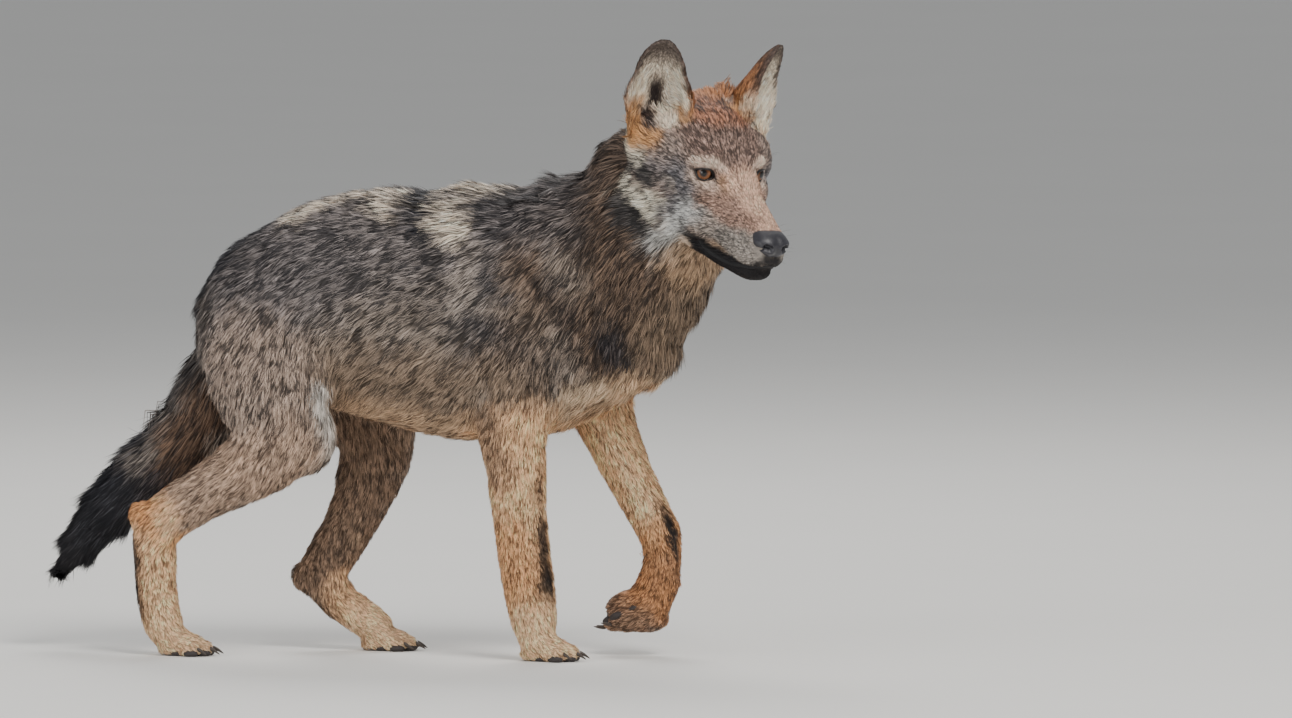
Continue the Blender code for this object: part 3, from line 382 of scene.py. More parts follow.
# On the head, in its own frame and on both sides.
HEAD_LIE = (
    ((100, 6, -33), 4, (-1, 0.05, 0.35), 1, 3.6, 0.37, 291),
    ((70, 8, -18), 4, (-1, 0.08, 0.35), 1.2, 4.4, 0.4, 269),
    ((40, 8, -4), 4, (-1, 0.12, 0.45), 1.5, 5.2, 0.44, 235),
    ((16, 10, 14), 4, (-0.9, 0.14, 0.55), 1.9, 6.4, 0.48, 202),
    ((-15, 14, 40), 4, (-0.88, 0.16, 0.45), 2.4, 8, 0.53, 179),
    ((-50, 18, 63), 4, (-0.98, 0.12, 0.2), 3.2, 10.4, 0.62, 146),
    ((-88, 16, 70), 6, (-0.95, 0.1, 0.25), 7.5, 16, 0.7, 129),
    ((-125, 30, 50), 10, (-0.95, 0.15, -0.35), 8, 20.8, 0.88, 85),
    ((95, 24, -58), 4, (-0.97, 0.12, -0.1), 1, 3.6, 0.37, 291),
    ((70, 30, -55), 4, (-0.98, 0.15, -0.08), 1.2, 4.4, 0.4, 269),
    ((42, 34, -48), 4, (-0.97, 0.2, -0.05), 1.5, 5.6, 0.44, 235),
    ((14, 40, -45), 4, (-0.95, 0.25, -0.12), 2, 6.8, 0.48, 202),
    ((18, 26, -6), 4, (-0.85, 0.25, 0.35), 1.4, 4.8, 0.44, 235),
    ((4, 30, 18), 3, (-0.7, 0.3, 0.65), 1.6, 5.6, 0.44, 224),
    ((-14, 50, 14), 3, (-0.85, 0.4, 0.35), 1.8, 6.4, 0.46, 213),
    ((-4, 50, -18), 3, (-0.92, 0.34, -0.2), 1.8, 6.4, 0.46, 213),
    ((-30, 60, 2), 4, (-0.97, 0.22, 0.05), 2.6, 8.8, 0.53, 179),
    ((-50, 62, 28), 4, (-0.95, 0.22, 0.22), 3.2, 11.2, 0.62, 146),
    ((-36, 68, -36), 6, (-0.9, 0.32, -0.28), 5, 14.4, 0.7, 123),
    ((-68, 84, -6), 6, (-0.9, 0.42, -0.12), 6.5, 17.6, 0.79, 103),
    ((-86, 88, -44), 8, (-0.82, 0.42, -0.42), 9, 24, 0.88, 87),
    ((-58, 74, -72), 8, (-0.78, 0.32, -0.55), 8.5, 22.4, 0.88, 90),
    ((-20, 46, -82), 4, (-0.88, 0.22, -0.42), 4.5, 13.6, 0.7, 123),
    ((-50, 30, -108), 8, (-0.72, 0.1, -0.7), 8.5, 22.4, 0.88, 87),
    ((30, 28, -96), 3, (-0.98, 0.1, -0.18), 1.2, 4.8, 0.44, 224),
    ((75, 18, -98), 3, (-0.92, 0.05, -0.4), 1, 4, 0.4, 246),
    ((98, 4, -94), 3, (-0.55, 0, -0.83), 0.9, 3.6, 0.4, 246),
    ((30, 4, -107), 4, (-0.97, 0, -0.2), 2, 7.2, 0.53, 168),
    ((-10, 6, -115), 6, (-0.85, 0, -0.55), 5, 14.4, 0.7, 123),
    ((-64, 44, 50), 6, (-0.35, 0.1, 0.92), 2.8, 9.6, 0.57, 157),
    ((-98, 94, 22), 6, (-0.5, 0.45, 0.7), 5, 14.4, 0.7, 123),
    ((-120, 70, 30), 6, (-0.9, 0.3, 0.1), 6.5, 17.6, 0.79, 101),
)
# The mouth from corner to front, in the head's frame.
MOUTH = (
    (-0.001, 0.0330, -0.0835),
    (0.006, 0.0310, -0.0868),
    (0.016, 0.0292, -0.0895),
    (0.032, 0.0282, -0.0915),
    (0.050, 0.0260, -0.0920),
    (0.068, 0.0232, -0.0900),
    (0.084, 0.0192, -0.0865),
    (0.097, 0.0142, -0.0820),
    (0.107, 0.0078, -0.0782),
    (0.1115, 0.0000, -0.0768),
)
# Each paw: where, heading, tip down and size, then its toes across, forward and splayed.
PAW_PLACES = {
    "forepaw_right": ((0.137, -0.056, -0.0022), -4, 0, 1.0),
    "hindpaw_right": ((-0.314, -0.064, -0.0022), -5, 0, 0.94),
    "hindpaw_left": ((-0.088, 0.060, -0.0022), 4, 0, 0.94),
    "forepaw_left": ((0.259, 0.050, 0.071), 0, 155, 1.0),
}
PAW_LENGTH, PAW_WIDTH = 0.082, 0.062
PAD_RISE = 0.0060
TOES = ((-0.345, 0.60), (-0.125, 0.76), (0.125, 0.76), (0.345, 0.60))

MADE = {}


# ---- numbers and colours ------------------------------------------------------------------------
def linear(colour):
    """Display colour, 0 to 255, as scene-linear."""
    c = np.asarray(colour, float) / 255
    return np.where(c <= 0.04045, c / 12.92, ((c + 0.055) / 1.055) ** 2.4)


def ease(x):
    """A soft step from 0 to 1."""
    x = np.clip(x, 0, 1)
    return x * x * (3 - 2 * x)


def unit(v):
    return v / np.maximum(np.linalg.norm(v, axis=-1, keepdims=True), 1e-12)


def noise(points, size, seed):
    """Smooth value noise from 0 to 1 on a lattice of the given size."""
    p = points / size
    cell = np.floor(p).astype(np.int64)
    part = p - cell
    part = part * part * (3 - 2 * part)
    total = np.zeros(len(points))
    for corner in range(8):
        step = np.array([corner & 1, corner >> 1 & 1, corner >> 2 & 1])
        c = cell + step
        h = (c[:, 0] * 73856093) ^ (c[:, 1] * 19349663) ^ (c[:, 2] * 83492791) ^ (seed * 2654435761)
        h = (h ^ (h >> 13)) * 1274126177 & 0x7FFFFFFF
        h = (h ^ (h >> 16)) & 0xFFFF
        weight = np.prod(np.where(step, part, 1 - part), axis=1)
        total += weight * h / 65535.0
    return total


def metres(*values):
    """Millimetres as metres."""
    return (np.array(value) / 1000 for value in values)


def rows_of(matrix, points):
    """Points moved by a four by four matrix."""
    m = np.array(matrix)
    return points @ m[:3, :3].T + m[:3, 3]


def mirrored(rows, side):
    """Points or ways as given for the left side, 1, or thrown over to the right, -1."""
    rows = np.array(rows, float)
    rows[..., 1] *= side
    return rows


# ---- meshes -------------------------------------------------------------------------------------
def link(name, data):
    """A new object in the scene for a mesh, a lamp or a camera."""
    obj = bpy.data.objects.new(name, data)
    bpy.context.scene.collection.objects.link(obj)
    return obj


def settle(obj):
    """Applies the object's modifiers and leaves a plain mesh."""
    bpy.context.view_layer.update()
    graph = bpy.context.evaluated_depsgraph_get()
    mesh = bpy.data.meshes.new_from_object(obj.evaluated_get(graph), depsgraph=graph)
    obj.modifiers.clear()
    old = obj.data
    obj.data = mesh
    bpy.data.meshes.remove(old)
    mesh.name = obj.name
    return obj


def read(rows, key, width, kind=np.float32):
    """One value of each row of a mesh's list, as an array."""
    values = np.empty(len(rows) * width, kind)
    rows.foreach_get(key, values)
    return values.reshape(-1, width)


def vertices_of(mesh):
    return read(mesh.vertices, "co", 3).astype(float)


def set_vertices(mesh, co):
    mesh.vertices.foreach_set("co", co.astype(np.float32).ravel())
    mesh.update()


def normals_of(mesh):
    return read(mesh.vertex_normals, "vector", 3).astype(float)


def edges_of(mesh):
    return read(mesh.edges, "vertices", 2, np.int32)


def triangles_of(mesh):
    mesh.calc_loop_triangles()
    return read(mesh.loop_triangles, "vertices", 3, np.int32)


def tree_of(mesh):
    """A mesh's surface, for rays and for nearest places."""
    polygons = [p.vertices[:] for p in mesh.polygons]
    return BVHTree.FromPolygons([v.co for v in mesh.vertices], polygons)


def neighbour_mean(values, edges, count):
    """Mean of each vertex's neighbours, for an array with one row to a vertex."""
    a, b = edges[:, 0], edges[:, 1]
    degree = np.bincount(a, minlength=count) + np.bincount(b, minlength=count)
    out = np.empty_like(values)
    for k in range(values.shape[1]):
        total = np.bincount(a, values[b, k], count) + np.bincount(b, values[a, k], count)
        out[:, k] = total / np.maximum(degree, 1)
    return out


def mesh_from(name, points, faces):
    """A mesh from an array of points and an array of triangles or quads."""
    mesh = bpy.data.meshes.new(name)
    corners = faces.shape[1]
    mesh.vertices.add(len(points))
    mesh.vertices.foreach_set("co", points.astype(np.float32).ravel())
    mesh.loops.add(faces.size)
    mesh.loops.foreach_set("vertex_index", faces.astype(np.int32).ravel())
    mesh.polygons.add(len(faces))
    mesh.polygons.foreach_set("loop_start", np.arange(0, faces.size, corners, dtype=np.int32))
    mesh.update(calc_edges=True)
    mesh.shade_smooth()
    return mesh


def point_attribute(mesh, name, kind, values):
    attribute = mesh.attributes.new(name, kind, "POINT")
    field = {"FLOAT": "value", "FLOAT_VECTOR": "vector", "FLOAT_COLOR": "color"}[kind]
    attribute.data.foreach_set(field, np.ascontiguousarray(values, np.float32).ravel())


def ball(segments, rings, radius=1.0):
    bm = bmesh.new()
    bmesh.ops.create_uvsphere(bm, u_segments=segments, v_segments=rings, radius=radius)
    return bm


def ellipsoid(centre, radii, frame_matrix):
    bm = ball(24, 16)
    shape = frame_matrix @ Matrix.Translation(centre) @ Matrix.Diagonal((*radii, 1))
    bmesh.ops.transform(bm, matrix=shape, verts=bm.verts)
    bmesh.ops.recalc_face_normals(bm, faces=bm.faces)
    return bm


def joined(name, parts):
    """One object from bmeshes, which are freed."""
    whole = bmesh.new()
    for part in parts:
        held = bpy.data.meshes.new("held")
        part.to_mesh(held)
        part.free()
        whole.from_mesh(held)
        bpy.data.meshes.remove(held)
    mesh = bpy.data.meshes.new(name)
    whole.to_mesh(mesh)
    whole.free()
    return link(name, mesh)


def swollen_copy(node, by):
    """A welded copy of a node's solid, swollen a little so that neighbours overlap."""
    bm = bmesh.new()
    bm.from_mesh(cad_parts[node].data)
    bmesh.ops.remove_doubles(bm, verts=bm.verts, dist=1e-5)
    bmesh.ops.recalc_face_normals(bm, faces=bm.faces)
    bm.normal_update()
    for vertex, move in [(v, v.normal * by) for v in bm.verts]:
        vertex.co += move
    return bm


def voxel_form(obj, voxel, passes):
    """Fuses an object's closed parts into one and softens it."""
    remesh = obj.modifiers.new("fuse", "REMESH")
    remesh.mode = "VOXEL"
    remesh.voxel_size = voxel
    smooth = obj.modifiers.new("soften", "SMOOTH")
    smooth.factor = 0.5
    smooth.iterations = passes
    return settle(obj)


# ---- materials ----------------------------------------------------------------------------------
def node_tree(name):
    made = bpy.data.materials.new(name)
    made.use_nodes = True
    made.node_tree.nodes.clear()
    return made, made.node_tree


def add_node(tree, kind, inputs=(), **values):
    """A node with its properties set, and its inputs by pairs of name or number and value."""
    node = tree.nodes.new(kind)
    for key, value in values.items():
        setattr(node, key, value)
    for key, value in dict(inputs).items():
        node.inputs[key].default_value = value
    return node


def shader_of(tree, roughness, inputs=()):
    """The surface's shader, joined to the material's output."""
    shader = add_node(tree, "ShaderNodeBsdfPrincipled", {"Roughness": roughness, **dict(inputs)})
    out = tree.nodes.new("ShaderNodeOutputMaterial")
    tree.links.new(shader.outputs["BSDF"], out.inputs["Surface"])
    return shader


def mottle_group():
    """Shared effect: a colour made a little lighter and darker by noise, with a height for bump."""
    name = "Mottle"
    if name in bpy.data.node_groups:
        return bpy.data.node_groups[name]
    group = bpy.data.node_groups.new(name, "ShaderNodeTree")
    face = group.interface
    face.new_socket("Colour", in_out="INPUT", socket_type="NodeSocketColor")
    scale = face.new_socket("Scale", in_out="INPUT", socket_type="NodeSocketFloat")
    scale.default_value = 200.0
    amount = face.new_socket("Amount", in_out="INPUT", socket_type="NodeSocketFloat")
    amount.default_value = 0.3
    face.new_socket("Colour", in_out="OUTPUT", socket_type="NodeSocketColor")
    face.new_socket("Height", in_out="OUTPUT", socket_type="NodeSocketFloat")
    start = group.nodes.new("NodeGroupInput")
    end = group.nodes.new("NodeGroupOutput")
    where = group.nodes.new("ShaderNodeTexCoord")
    grain = add_node(group, "ShaderNodeTexNoise", {"Detail": 4.0})
    centred = add_node(group, "ShaderNodeMath", {1: 0.5}, operation="SUBTRACT")
    swing = add_node(group, "ShaderNodeMath", operation="MULTIPLY")
    level = add_node(group, "ShaderNodeMath", {1: 1.0}, operation="ADD")
    tone = add_node(group, "ShaderNodeVectorMath", operation="SCALE")
    join = group.links.new
    join(where.outputs["Object"], grain.inputs["Vector"])
    join(start.outputs["Scale"], grain.inputs["Scale"])
    join(grain.outputs["Fac"], centred.inputs[0])
    join(centred.outputs[0], swing.inputs[0])
    join(start.outputs["Amount"], swing.inputs[1])
    join(swing.outputs[0], level.inputs[0])
    join(start.outputs["Colour"], tone.inputs[0])
    join(level.outputs[0], tone.inputs["Scale"])
    join(tone.outputs[0], end.inputs["Colour"])
    join(grain.outputs["Fac"], end.inputs["Height"])
    return group


def mottled(tree, colour, scale, amount):
    """The shared mottle fed by a colour or by a socket that gives one."""
    settings = {"Scale": scale, "Amount": amount}
    node = add_node(tree, "ShaderNodeGroup", settings, node_tree=mottle_group())
    if hasattr(colour, "node"):
        tree.links.new(colour, node.inputs["Colour"])
    else:
        node.inputs["Colour"].default_value = (*colour, 1.0)
    return node


def toned(tree, shader, colour, scale, amount):
    """Feeds the shader's colour through the shared mottle."""
    tone = mottled(tree, colour, scale, amount)
    tree.links.new(tone.outputs["Colour"], shader.inputs["Base Color"])
    return tone


def bump_into(tree, height, shader, strength, distance):
    bump = add_node(tree, "ShaderNodeBump", {"Strength": strength, "Distance": distance})
    tree.links.new(height, bump.inputs["Height"])
    tree.links.new(bump.outputs["Normal"], shader.inputs["Normal"])


def attribute(tree, name, output="Color"):
    return add_node(tree, "ShaderNodeAttribute", attribute_name=name).outputs[output]


def skin_material():
    made, tree = node_tree("wolf_skin")
    shader = shader_of(tree, 0.8)
    # The skin's colour carries painted shade under the coat.
    tone = toned(tree, shader, attribute(tree, "skin_colour"), 420.0, 0.9)
    bare = add_node(tree, "ShaderNodeMapRange", {"To Min": 0.85, "To Max": 0.34})
    tree.links.new(attribute(tree, "bare", "Fac"), bare.inputs["Value"])
    tree.links.new(bare.outputs["Result"], shader.inputs["Roughness"])
    bump_into(tree, tone.outputs["Height"], shader, 0.5, 0.0006)
    return made


def hair_material():
    made, tree = node_tree("wolf_hair")
    shader = shader_of(tree, 0.62, {"Specular IOR Level": 0.28})
    toned(tree, shader, attribute(tree, "hair_colour"), 900.0, 0.5)
    return made


def leather_material(name, colour, scale, roughness, depth, coat=0.0):
    """Bare pebbled leather, as on the nose, the pads and the lips."""
    made, tree = node_tree(name)
    shader = shader_of(tree, roughness, {"Coat Weight": coat, "Coat Roughness": 0.25})
    toned(tree, shader, linear(colour), scale * 0.35, 0.7)
    where = add_node(tree, "ShaderNodeTexCoord")
    size = {"Scale": scale}
    pebble = add_node(tree, "ShaderNodeTexVoronoi", size, feature="DISTANCE_TO_EDGE")
    tree.links.new(where.outputs["Object"], pebble.inputs["Vector"])
    bump_into(tree, pebble.outputs["Distance"], shader, 0.6, depth)
    return made


def eye_material():
    """Pupil, fibrous amber iris with a dark rim, then the dark edge of the white, all darkened
    toward the top with painted lid shade.
    """
    made, tree = node_tree("eye")
    shader = shader_of(tree, 0.05)
    arc = attribute(tree, "arc", "Fac")
    fibre = add_node(tree, "ShaderNodeTexNoise", {"Scale": 1.0, "Detail": 3.0})
    tree.links.new(attribute(tree, "fibre", "Vector"), fibre.inputs["Vector"])
    bands = add_node(tree, "ShaderNodeValToRGB")
    ramp = bands.color_ramp
    stops = (
        (0.0, (6, 5, 5)),
        (PUPIL_ARC - 1.0, (6, 5, 5)),
        (PUPIL_ARC + 1.5, (60, 36, 22)),
        (25.0, (112, 72, 46)),
        (37.0, (146, 96, 62)),
        (IRIS_ARC - 6.0, (76, 47, 30)),
        (IRIS_ARC - 2.0, (24, 15, 12)),
        (IRIS_ARC + 6.0, (28, 21, 20)),
        (70.0, (70, 58, 54)),
        (90.0, (90, 74, 68)),
    )
    while len(ramp.elements) < len(stops):
        ramp.elements.new(0.5)
    for element, (at, colour) in zip(ramp.elements, stops):
        element.position = at / 90
        element.color = (*linear(colour), 1.0)
    share = add_node(tree, "ShaderNodeMath", {1: 90.0}, operation="DIVIDE")
    tree.links.new(arc, share.inputs[0])
    tree.links.new(share.outputs[0], bands.inputs["Fac"])
    limits = {"From Min": 0.3, "From Max": 0.7, "To Min": 0.55, "To Max": 1.25}
    streak = add_node(tree, "ShaderNodeMapRange", limits)
    tree.links.new(fibre.outputs["Fac"], streak.inputs["Value"])
    tint = add_node(tree, "ShaderNodeVectorMath", operation="SCALE")
    tree.links.new(bands.outputs["Color"], tint.inputs[0])
    # The colours are multiplied by the painted lid shade.
    shaded = add_node(tree, "ShaderNodeMath", operation="MULTIPLY")
    tree.links.new(streak.outputs["Result"], shaded.inputs[0])
    tree.links.new(attribute(tree, "lid_shade", "Fac"), shaded.inputs[1])
    tree.links.new(shaded.outputs[0], tint.inputs["Scale"])
    tree.links.new(tint.outputs[0], shader.inputs["Base Color"])
    return made


def finish(mesh, made):
    mesh.materials.clear()
    mesh.materials.append(made)


# ---- the lie of the coat over a surface ----------------------------------------------------------
def lie_table():
    """Place, reach, way and four sizes of each row, all in the body's own frame."""
    rows = []
    for place, reach, way, *sizes in BODY_LIE:
        place, reach = metres(place, reach)
        for side in (-1, 1):
            rows.append((*mirrored(place, side), reach, *mirrored(way, side), *sizes))
    for side, stations in LIMB_LIE:
        sign = -1 if side == "right" else 1
        places = mirrored([row[:3] for row in stations], sign) / 1000
        ways = unit(np.gradient(places, axis=0))
        for place, way, row in zip(places, ways, stations):
            rows.append((*place, row[3] / 1000, *way, *row[4:]))
    own_head = np.array(Matrix.Translation(HEAD_AT) @ head_turn())
    for place, reach, way, *sizes in HEAD_LIE:
        place, reach = metres(place, reach)
        for side in (-1, 1):
            at = rows_of(own_head, mirrored(place, side)[None])[0]
            rows.append((*at, reach, *(own_head[:3, :3] @ mirrored(way, side)), *sizes))
    return np.array(rows)


def lie_over(points):
    """Way, depth, length, width and locks at points, blended between the rows of the table."""
    total = np.zeros((len(points), 7))
    weights = np.zeros(len(points))
    for row in lie_table():
        gap = np.linalg.norm(points - row[:3], axis=1) - row[3]
        weight = 1.0 / np.maximum(gap, 0.003) ** 4
        total += weight[:, None] * np.array([*unit(row[4:7]), *row[7:11]])
        weights += weight
    return total / weights[:, None]


def capsule_gap(points, a, b):
    """Distance of points from the line between two places."""
    a, b = np.array(a, float), np.array(b, float)
    line = b - a
    along = np.clip((points - a) @ line / max(line @ line, 1e-12), 0, 1)
    return np.linalg.norm(points - a - along[:, None] * line, axis=1)


def paint(colours, finish_name, amount):
    """Moves colours toward a finish of the palette by an amount for each."""
    light, dark, share = PALETTE[finish_name]
    goal = np.array([*linear(light), *linear(dark), share])
    colours += (goal - colours) * amount[:, None]


def coat_colours(points, local):
    """Light colour, dark colour and share of dark hairs at points of the body and the head."""
    colours = np.zeros((len(points), 7))
    paint(colours, "grizzle", np.ones(len(points)))
    wobble = noise(points, 0.016, 3) - 0.5 + 0.5 * (noise(points, 0.006, 4) - 0.5)
    for name, side, *sizes, strength in BODY_MARKS:
        a, b, radius, fade = metres(*sizes)
        signs = {"both": (-1, 1), "right": (-1,), "left": (1,)}[side]
        gap = np.min([capsule_gap(points, mirrored(a, s), mirrored(b, s)) for s in signs], axis=0)
        gap = gap + wobble * min(fade, 0.02)
        paint(colours, name, strength * ease(1 - (gap - radius) / fade))
    near = np.linalg.norm(local + np.array([0.02, 0, 0.02]), axis=1) < 0.2
    face = local[near].copy()
    face[:, 1] = np.abs(face[:, 1])
    patch = colours[near]
    for table, places in ((HEAD_MARKS, face), (HEAD_LEFT_MARKS, local[near])):
        for name, *sizes, strength in table:
            a, b, radius, fade = metres(*sizes)
            gap = capsule_gap(places, a, b) + wobble[near] * min(fade, 0.02) * 0.8
            paint(patch, name, strength * ease(1 - (gap - radius) / fade))
    colours[near] = patch
    return colours


def ear_axes(side):
    """Root, axis, across and opening of an ear in the head's frame."""
    lean = math.radians(EAR_LEANS[side])
    axis = Vector((0, side * math.sin(lean), math.cos(lean)))
    opening = Vector(mirrored(EAR_FACES, side))
    opening = (opening - axis * opening.dot(axis)).normalized()
    return Vector(mirrored(EAR_ROOT, side)), axis, axis.cross(opening), opening


def dress_ears(points, local, normals, lie, colours):
    """Gives the ears their own lie and colours, inside and out. Returns the share of ear."""
    ear_share = np.zeros(len(points))
    for side, node in ((-1, "ear_right"), (1, "ear_left")):
        tree = tree_of(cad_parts[node].data)
        behind = (local[:, 2] > 0.012) & (local[:, 0] < -0.03)
        close = np.where(behind & (local[:, 1] * side > 0.02))[0]
        world = points[close] + np.array(SHIFT)
        gaps = np.array([tree.find_nearest(Vector(p))[3] for p in world])
        own = close[gaps < 0.0022]
        root, axis, across, opening = (np.array(v) for v in ear_axes(side))
        turn = np.array(HEAD.to_3x3())
        rel = local[own] - root
        rise = rel @ axis / EAR_LENGTH
        swell = 0.84 + 0.16 * np.sin(np.pi * np.clip(rise * 1.6, 0, 1))
        up = np.clip(rise, 0, 1)
        half = EAR_HALF_WIDTH * swell * np.clip(1 - up**3.0, 0.02, 1) ** 0.54
        aside = side * np.sign(across[1]) * (rel @ across)
        spread = 1 + EAR_SPREAD * np.clip((up - 0.25) / 0.6, 0, 1) * (aside > 0)
        lateral = aside / np.maximum(half, 0.004) / spread
        middle = half / np.sin(np.radians(100 - 40 * up)) - 0.5 * half - 0.006 * np.sin(np.pi * up)
        inward = opening[None] * (middle - rel @ opening)[:, None]
        inward = inward - across[None] * (rel @ across)[:, None]
        facing = np.sum((normals[own] @ turn) * unit(inward), axis=1)
        inside = ease((facing + 0.15) / 0.3)
        arc = np.arctan2(np.abs(rel @ across), middle - rel @ opening) / np.radians(100 - 40 * up)
        low = 0.16 - 0.22 * inside
        share = ease((rise - low) / 0.2)
        ear_share[own] = share
        tone = colours[own]
        back = np.zeros_like(tone)
        paint(back, "rust", np.ones(len(own)))
        paint(back, "ear_dark", ease((rise - 0.55) / 0.35) * 0.75)
        paint(back, "ear_dark", ease((arc - 0.62) / 0.25) * ease((rise - 0.3) / 0.3) * 0.8)
        paint(back, "ear_tan", ease((0.34 - rise) / 0.16) * ease(-lateral / 0.3) * 0.8)
        paint(back, "grizzle", ease((lateral - 0.1) / 0.6) * ease((0.75 - rise) / 0.4) * 0.5)
        if side > 0:
            paint(back, "ear_tan", ease((0.45 - rise) / 0.2) * ease((-lateral - 0.55) / 0.2) * 0.9)
            brim = ease((0.5 - rise) / 0.2) * ease((-lateral - 0.88) / 0.08)
            paint(back, "ear_cream", brim * 0.8)
        cup = np.zeros_like(tone)
        paint(cup, "ear_cream", np.ones(len(own)))
        edge = -lateral if side > 0 else np.abs(lateral)
        paint(cup, "ear_tan", ease((0.36 - rise) / 0.16) * ease((edge - 0.45) / 0.25) * 0.9)
        paint(cup, "grizzle", ease((rise - 0.60) / 0.22) * (0.85 if side < 0 else 0.10))
        paint(cup, "ear_dark", ease((rise - 0.76) / 0.16) * (0.75 if side < 0 else 0.8))
        rim = ease((arc - 0.90) / 0.08)
        paint(cup, "ear_dark", rim * ease((rise - 0.35) / 0.2) * 0.7)
        # Painted shade: the deep well round the ear's canal is painted dark.
        lower = ease((0.32 - rise) / 0.28)
        well = ease((0.38 - 0.22 * lower - np.abs(lateral - 0.22 - 0.16 * lower)) / 0.30)
        well = well * ease((rise + 0.12) / 0.08) * ease((0.66 - rise) / 0.24)
        paint(cup, "canal_shade", well)
        mixed = back + (cup - back) * inside[:, None]
        colours[own] = tone + (mixed - tone) * share[:, None]
        toward = -np.sign(lateral)[:, None] * (side * np.sign(across[1])) * across
        over = ease((0.35 - lateral) / 0.5) * ease((0.75 - rise) / 0.3)
        curl_in = axis * (1 - 0.75 * over)[:, None] + opening * 0.30
        outermost = ease((np.abs(lateral) - 0.1) / 0.4)[:, None]
        curl_in = curl_in + toward * (0.55 + 0.5 * over)[:, None] * outermost
        way_out = np.broadcast_to(axis, curl_in.shape)
        way = unit(way_out + (curl_in - way_out) * inside[:, None]) @ turn.T
        fringe = ease((np.abs(lateral) - 0.35) / 0.3) * ease((0.72 - rise) / 0.3)
        tip = ease((rise - 0.62) / 0.3)
        base = ease((0.62 - rise) / 0.3) * ease((rise - 0.06) / 0.14) * (1 - inside)
        length = 8.0 - 4.0 * tip + inside * (12.0 * fringe - 1.0) + 6.0 * base
        depth = 2.0 - 1.5 * tip + inside * (3.0 * fringe - 0.9 * (1 - tip)) + 3.0 * base
        locks = 190.0 - inside * 50.0 * (1 - fringe) - inside * 60 * well
        fresh = np.column_stack([way, depth, length, np.full(len(own), 0.5), locks])
        lie[own] += (fresh - lie[own]) * share[:, None]
    return ear_share


# ---- lids ---------------------------------------------------------------------------------------
def lid_axes(side):
    """Eye centre, then outward, inward to the nose and upward, in the head's frame."""
    out = Vector(mirrored(LID_FACES, side)).normalized()
    inward = (Vector((0, 0, 1)).cross(out) * -side).normalized()
    up = (out.cross(inward) * -side).normalized()
    if up.z < 0:
        up = -up
    return Vector(mirrored(EYE_CENTRE, side)), out, inward, up


def lid_opening(step, steps):
    """A point of the opening and the way out of it, in the plane of inward and up."""
    count = len(LID_SHAPE)

    def at(where):
        k, part = int(math.floor(where)), where - math.floor(where)
        a, b, c, d = (np.array(LID_SHAPE[(k + n) % count]) for n in (-1, 0, 1, 2))
        bend = (2 * a - 5 * b + 4 * c - d) * part**2 + (3 * b - a - 3 * c + d) * part**3
        return Vector(0.5 * (2 * b + (c - a) * part + bend)) * MM

    turn = step / steps * count
    way = (at(turn + 0.08) - at(turn - 0.08)).normalized()
    return at(turn), Vector((way.y, -way.x))


def ball_height(radius, distance):
    """Height of the eyeball's surface over its centre plane, carried on past its rim."""
    edge = 0.86 * radius
    if distance < edge:
        return math.sqrt(radius**2 - distance**2)
    base = math.sqrt(radius**2 - edge**2)
    return base - edge / base * (distance - edge)


LID_STEPS = 88
LID_ROWS = (  # out from the opening's edge and up from the eyeball, in millimetres
    (-0.5, -0.9),
    (-0.1, 0.1),
    (0.15, 0.75),
    (0.6, 1.25),
    (1.2, 1.45),
    (2.0, 1.35),
    (3.2, 1.3),
    (4.8, 1.2),
    (6.6, 1.1),
    (8.6, 1.0),
)


def lid_patch(side, surface):
    """Points and quads of one eye's lids, from the rim out to under the skin."""
    centre, out, inward, up = lid_axes(side)
    radius = EYE_RADIUS + 0.0002
    grid = []
    for away, rise in LID_ROWS:
        line = []
        for step in range(LID_STEPS):
            at, way = lid_opening(step, LID_STEPS)
            place = at + way * (away * MM)
            height = ball_height(radius, place.length) + rise * MM
            start = HEAD @ (centre + inward * place.x + up * place.y + out * 0.03)
            hit = surface.ray_cast(start, HEAD.to_3x3() @ -out, 0.06)
            ground = 0.03 - hit[3] if hit[0] is not None else height
            share = float(ease((away - 1.4) / 6.2))
            height = height + (ground - height) * share - 0.0016 * float(ease((away - 5.0) / 3.0))
            if place.length < 0.97 * EYE_RADIUS:
                dome = math.sqrt(EYE_RADIUS**2 - place.length_squared)
                height = max(height, dome + min(rise, 0.7) * MM)
            line.append(HEAD @ (centre + inward * place.x + up * place.y + out * height))
        grid.append(line)
    points = np.array([p[:] for line in grid for p in line])
    faces = []
    for row in range(len(grid) - 1):
        for k in range(LID_STEPS):
            n = (k + 1) % LID_STEPS
            a, b = row * LID_STEPS + k, row * LID_STEPS + n
            quad = (a, b, b + LID_STEPS, a + LID_STEPS)
            faces.append(quad if side > 0 else quad[::-1])
    return points, np.array(faces)


def lip_distance(mirror):
    """Distance of points, all thrown to the left side, from the line of the mouth."""
    mouth = np.array(MOUTH)
    return np.min([capsule_gap(mirror, a, b) for a, b in zip(mouth, mouth[1:])], axis=0)


def tear_share(local):
    """1 on the dark line that runs from each eye's inner corner toward the nose."""
    share = np.zeros(len(local))
    for side in (-1, 1):
        centre, out, inward, up = (np.array(v) for v in lid_axes(side))
        rel = local - centre
        flat = np.column_stack([rel @ inward, rel @ up, np.zeros(len(local))]) / MM
        inner = capsule_gap(flat, (10, -2, 0), (22, -8.5, 0)) - 1.7 * ease((26 - flat[:, 0]) / 14)
        outer = capsule_gap(flat, (-10, 0.3, 0), (-14, 0.0, 0)) - 0.7
        near = (rel @ out > -0.006) & (local[:, 1] * side > 0)
        share = np.maximum(share, near * ease(1 - np.minimum(inner, outer) / 1.3))
    return share


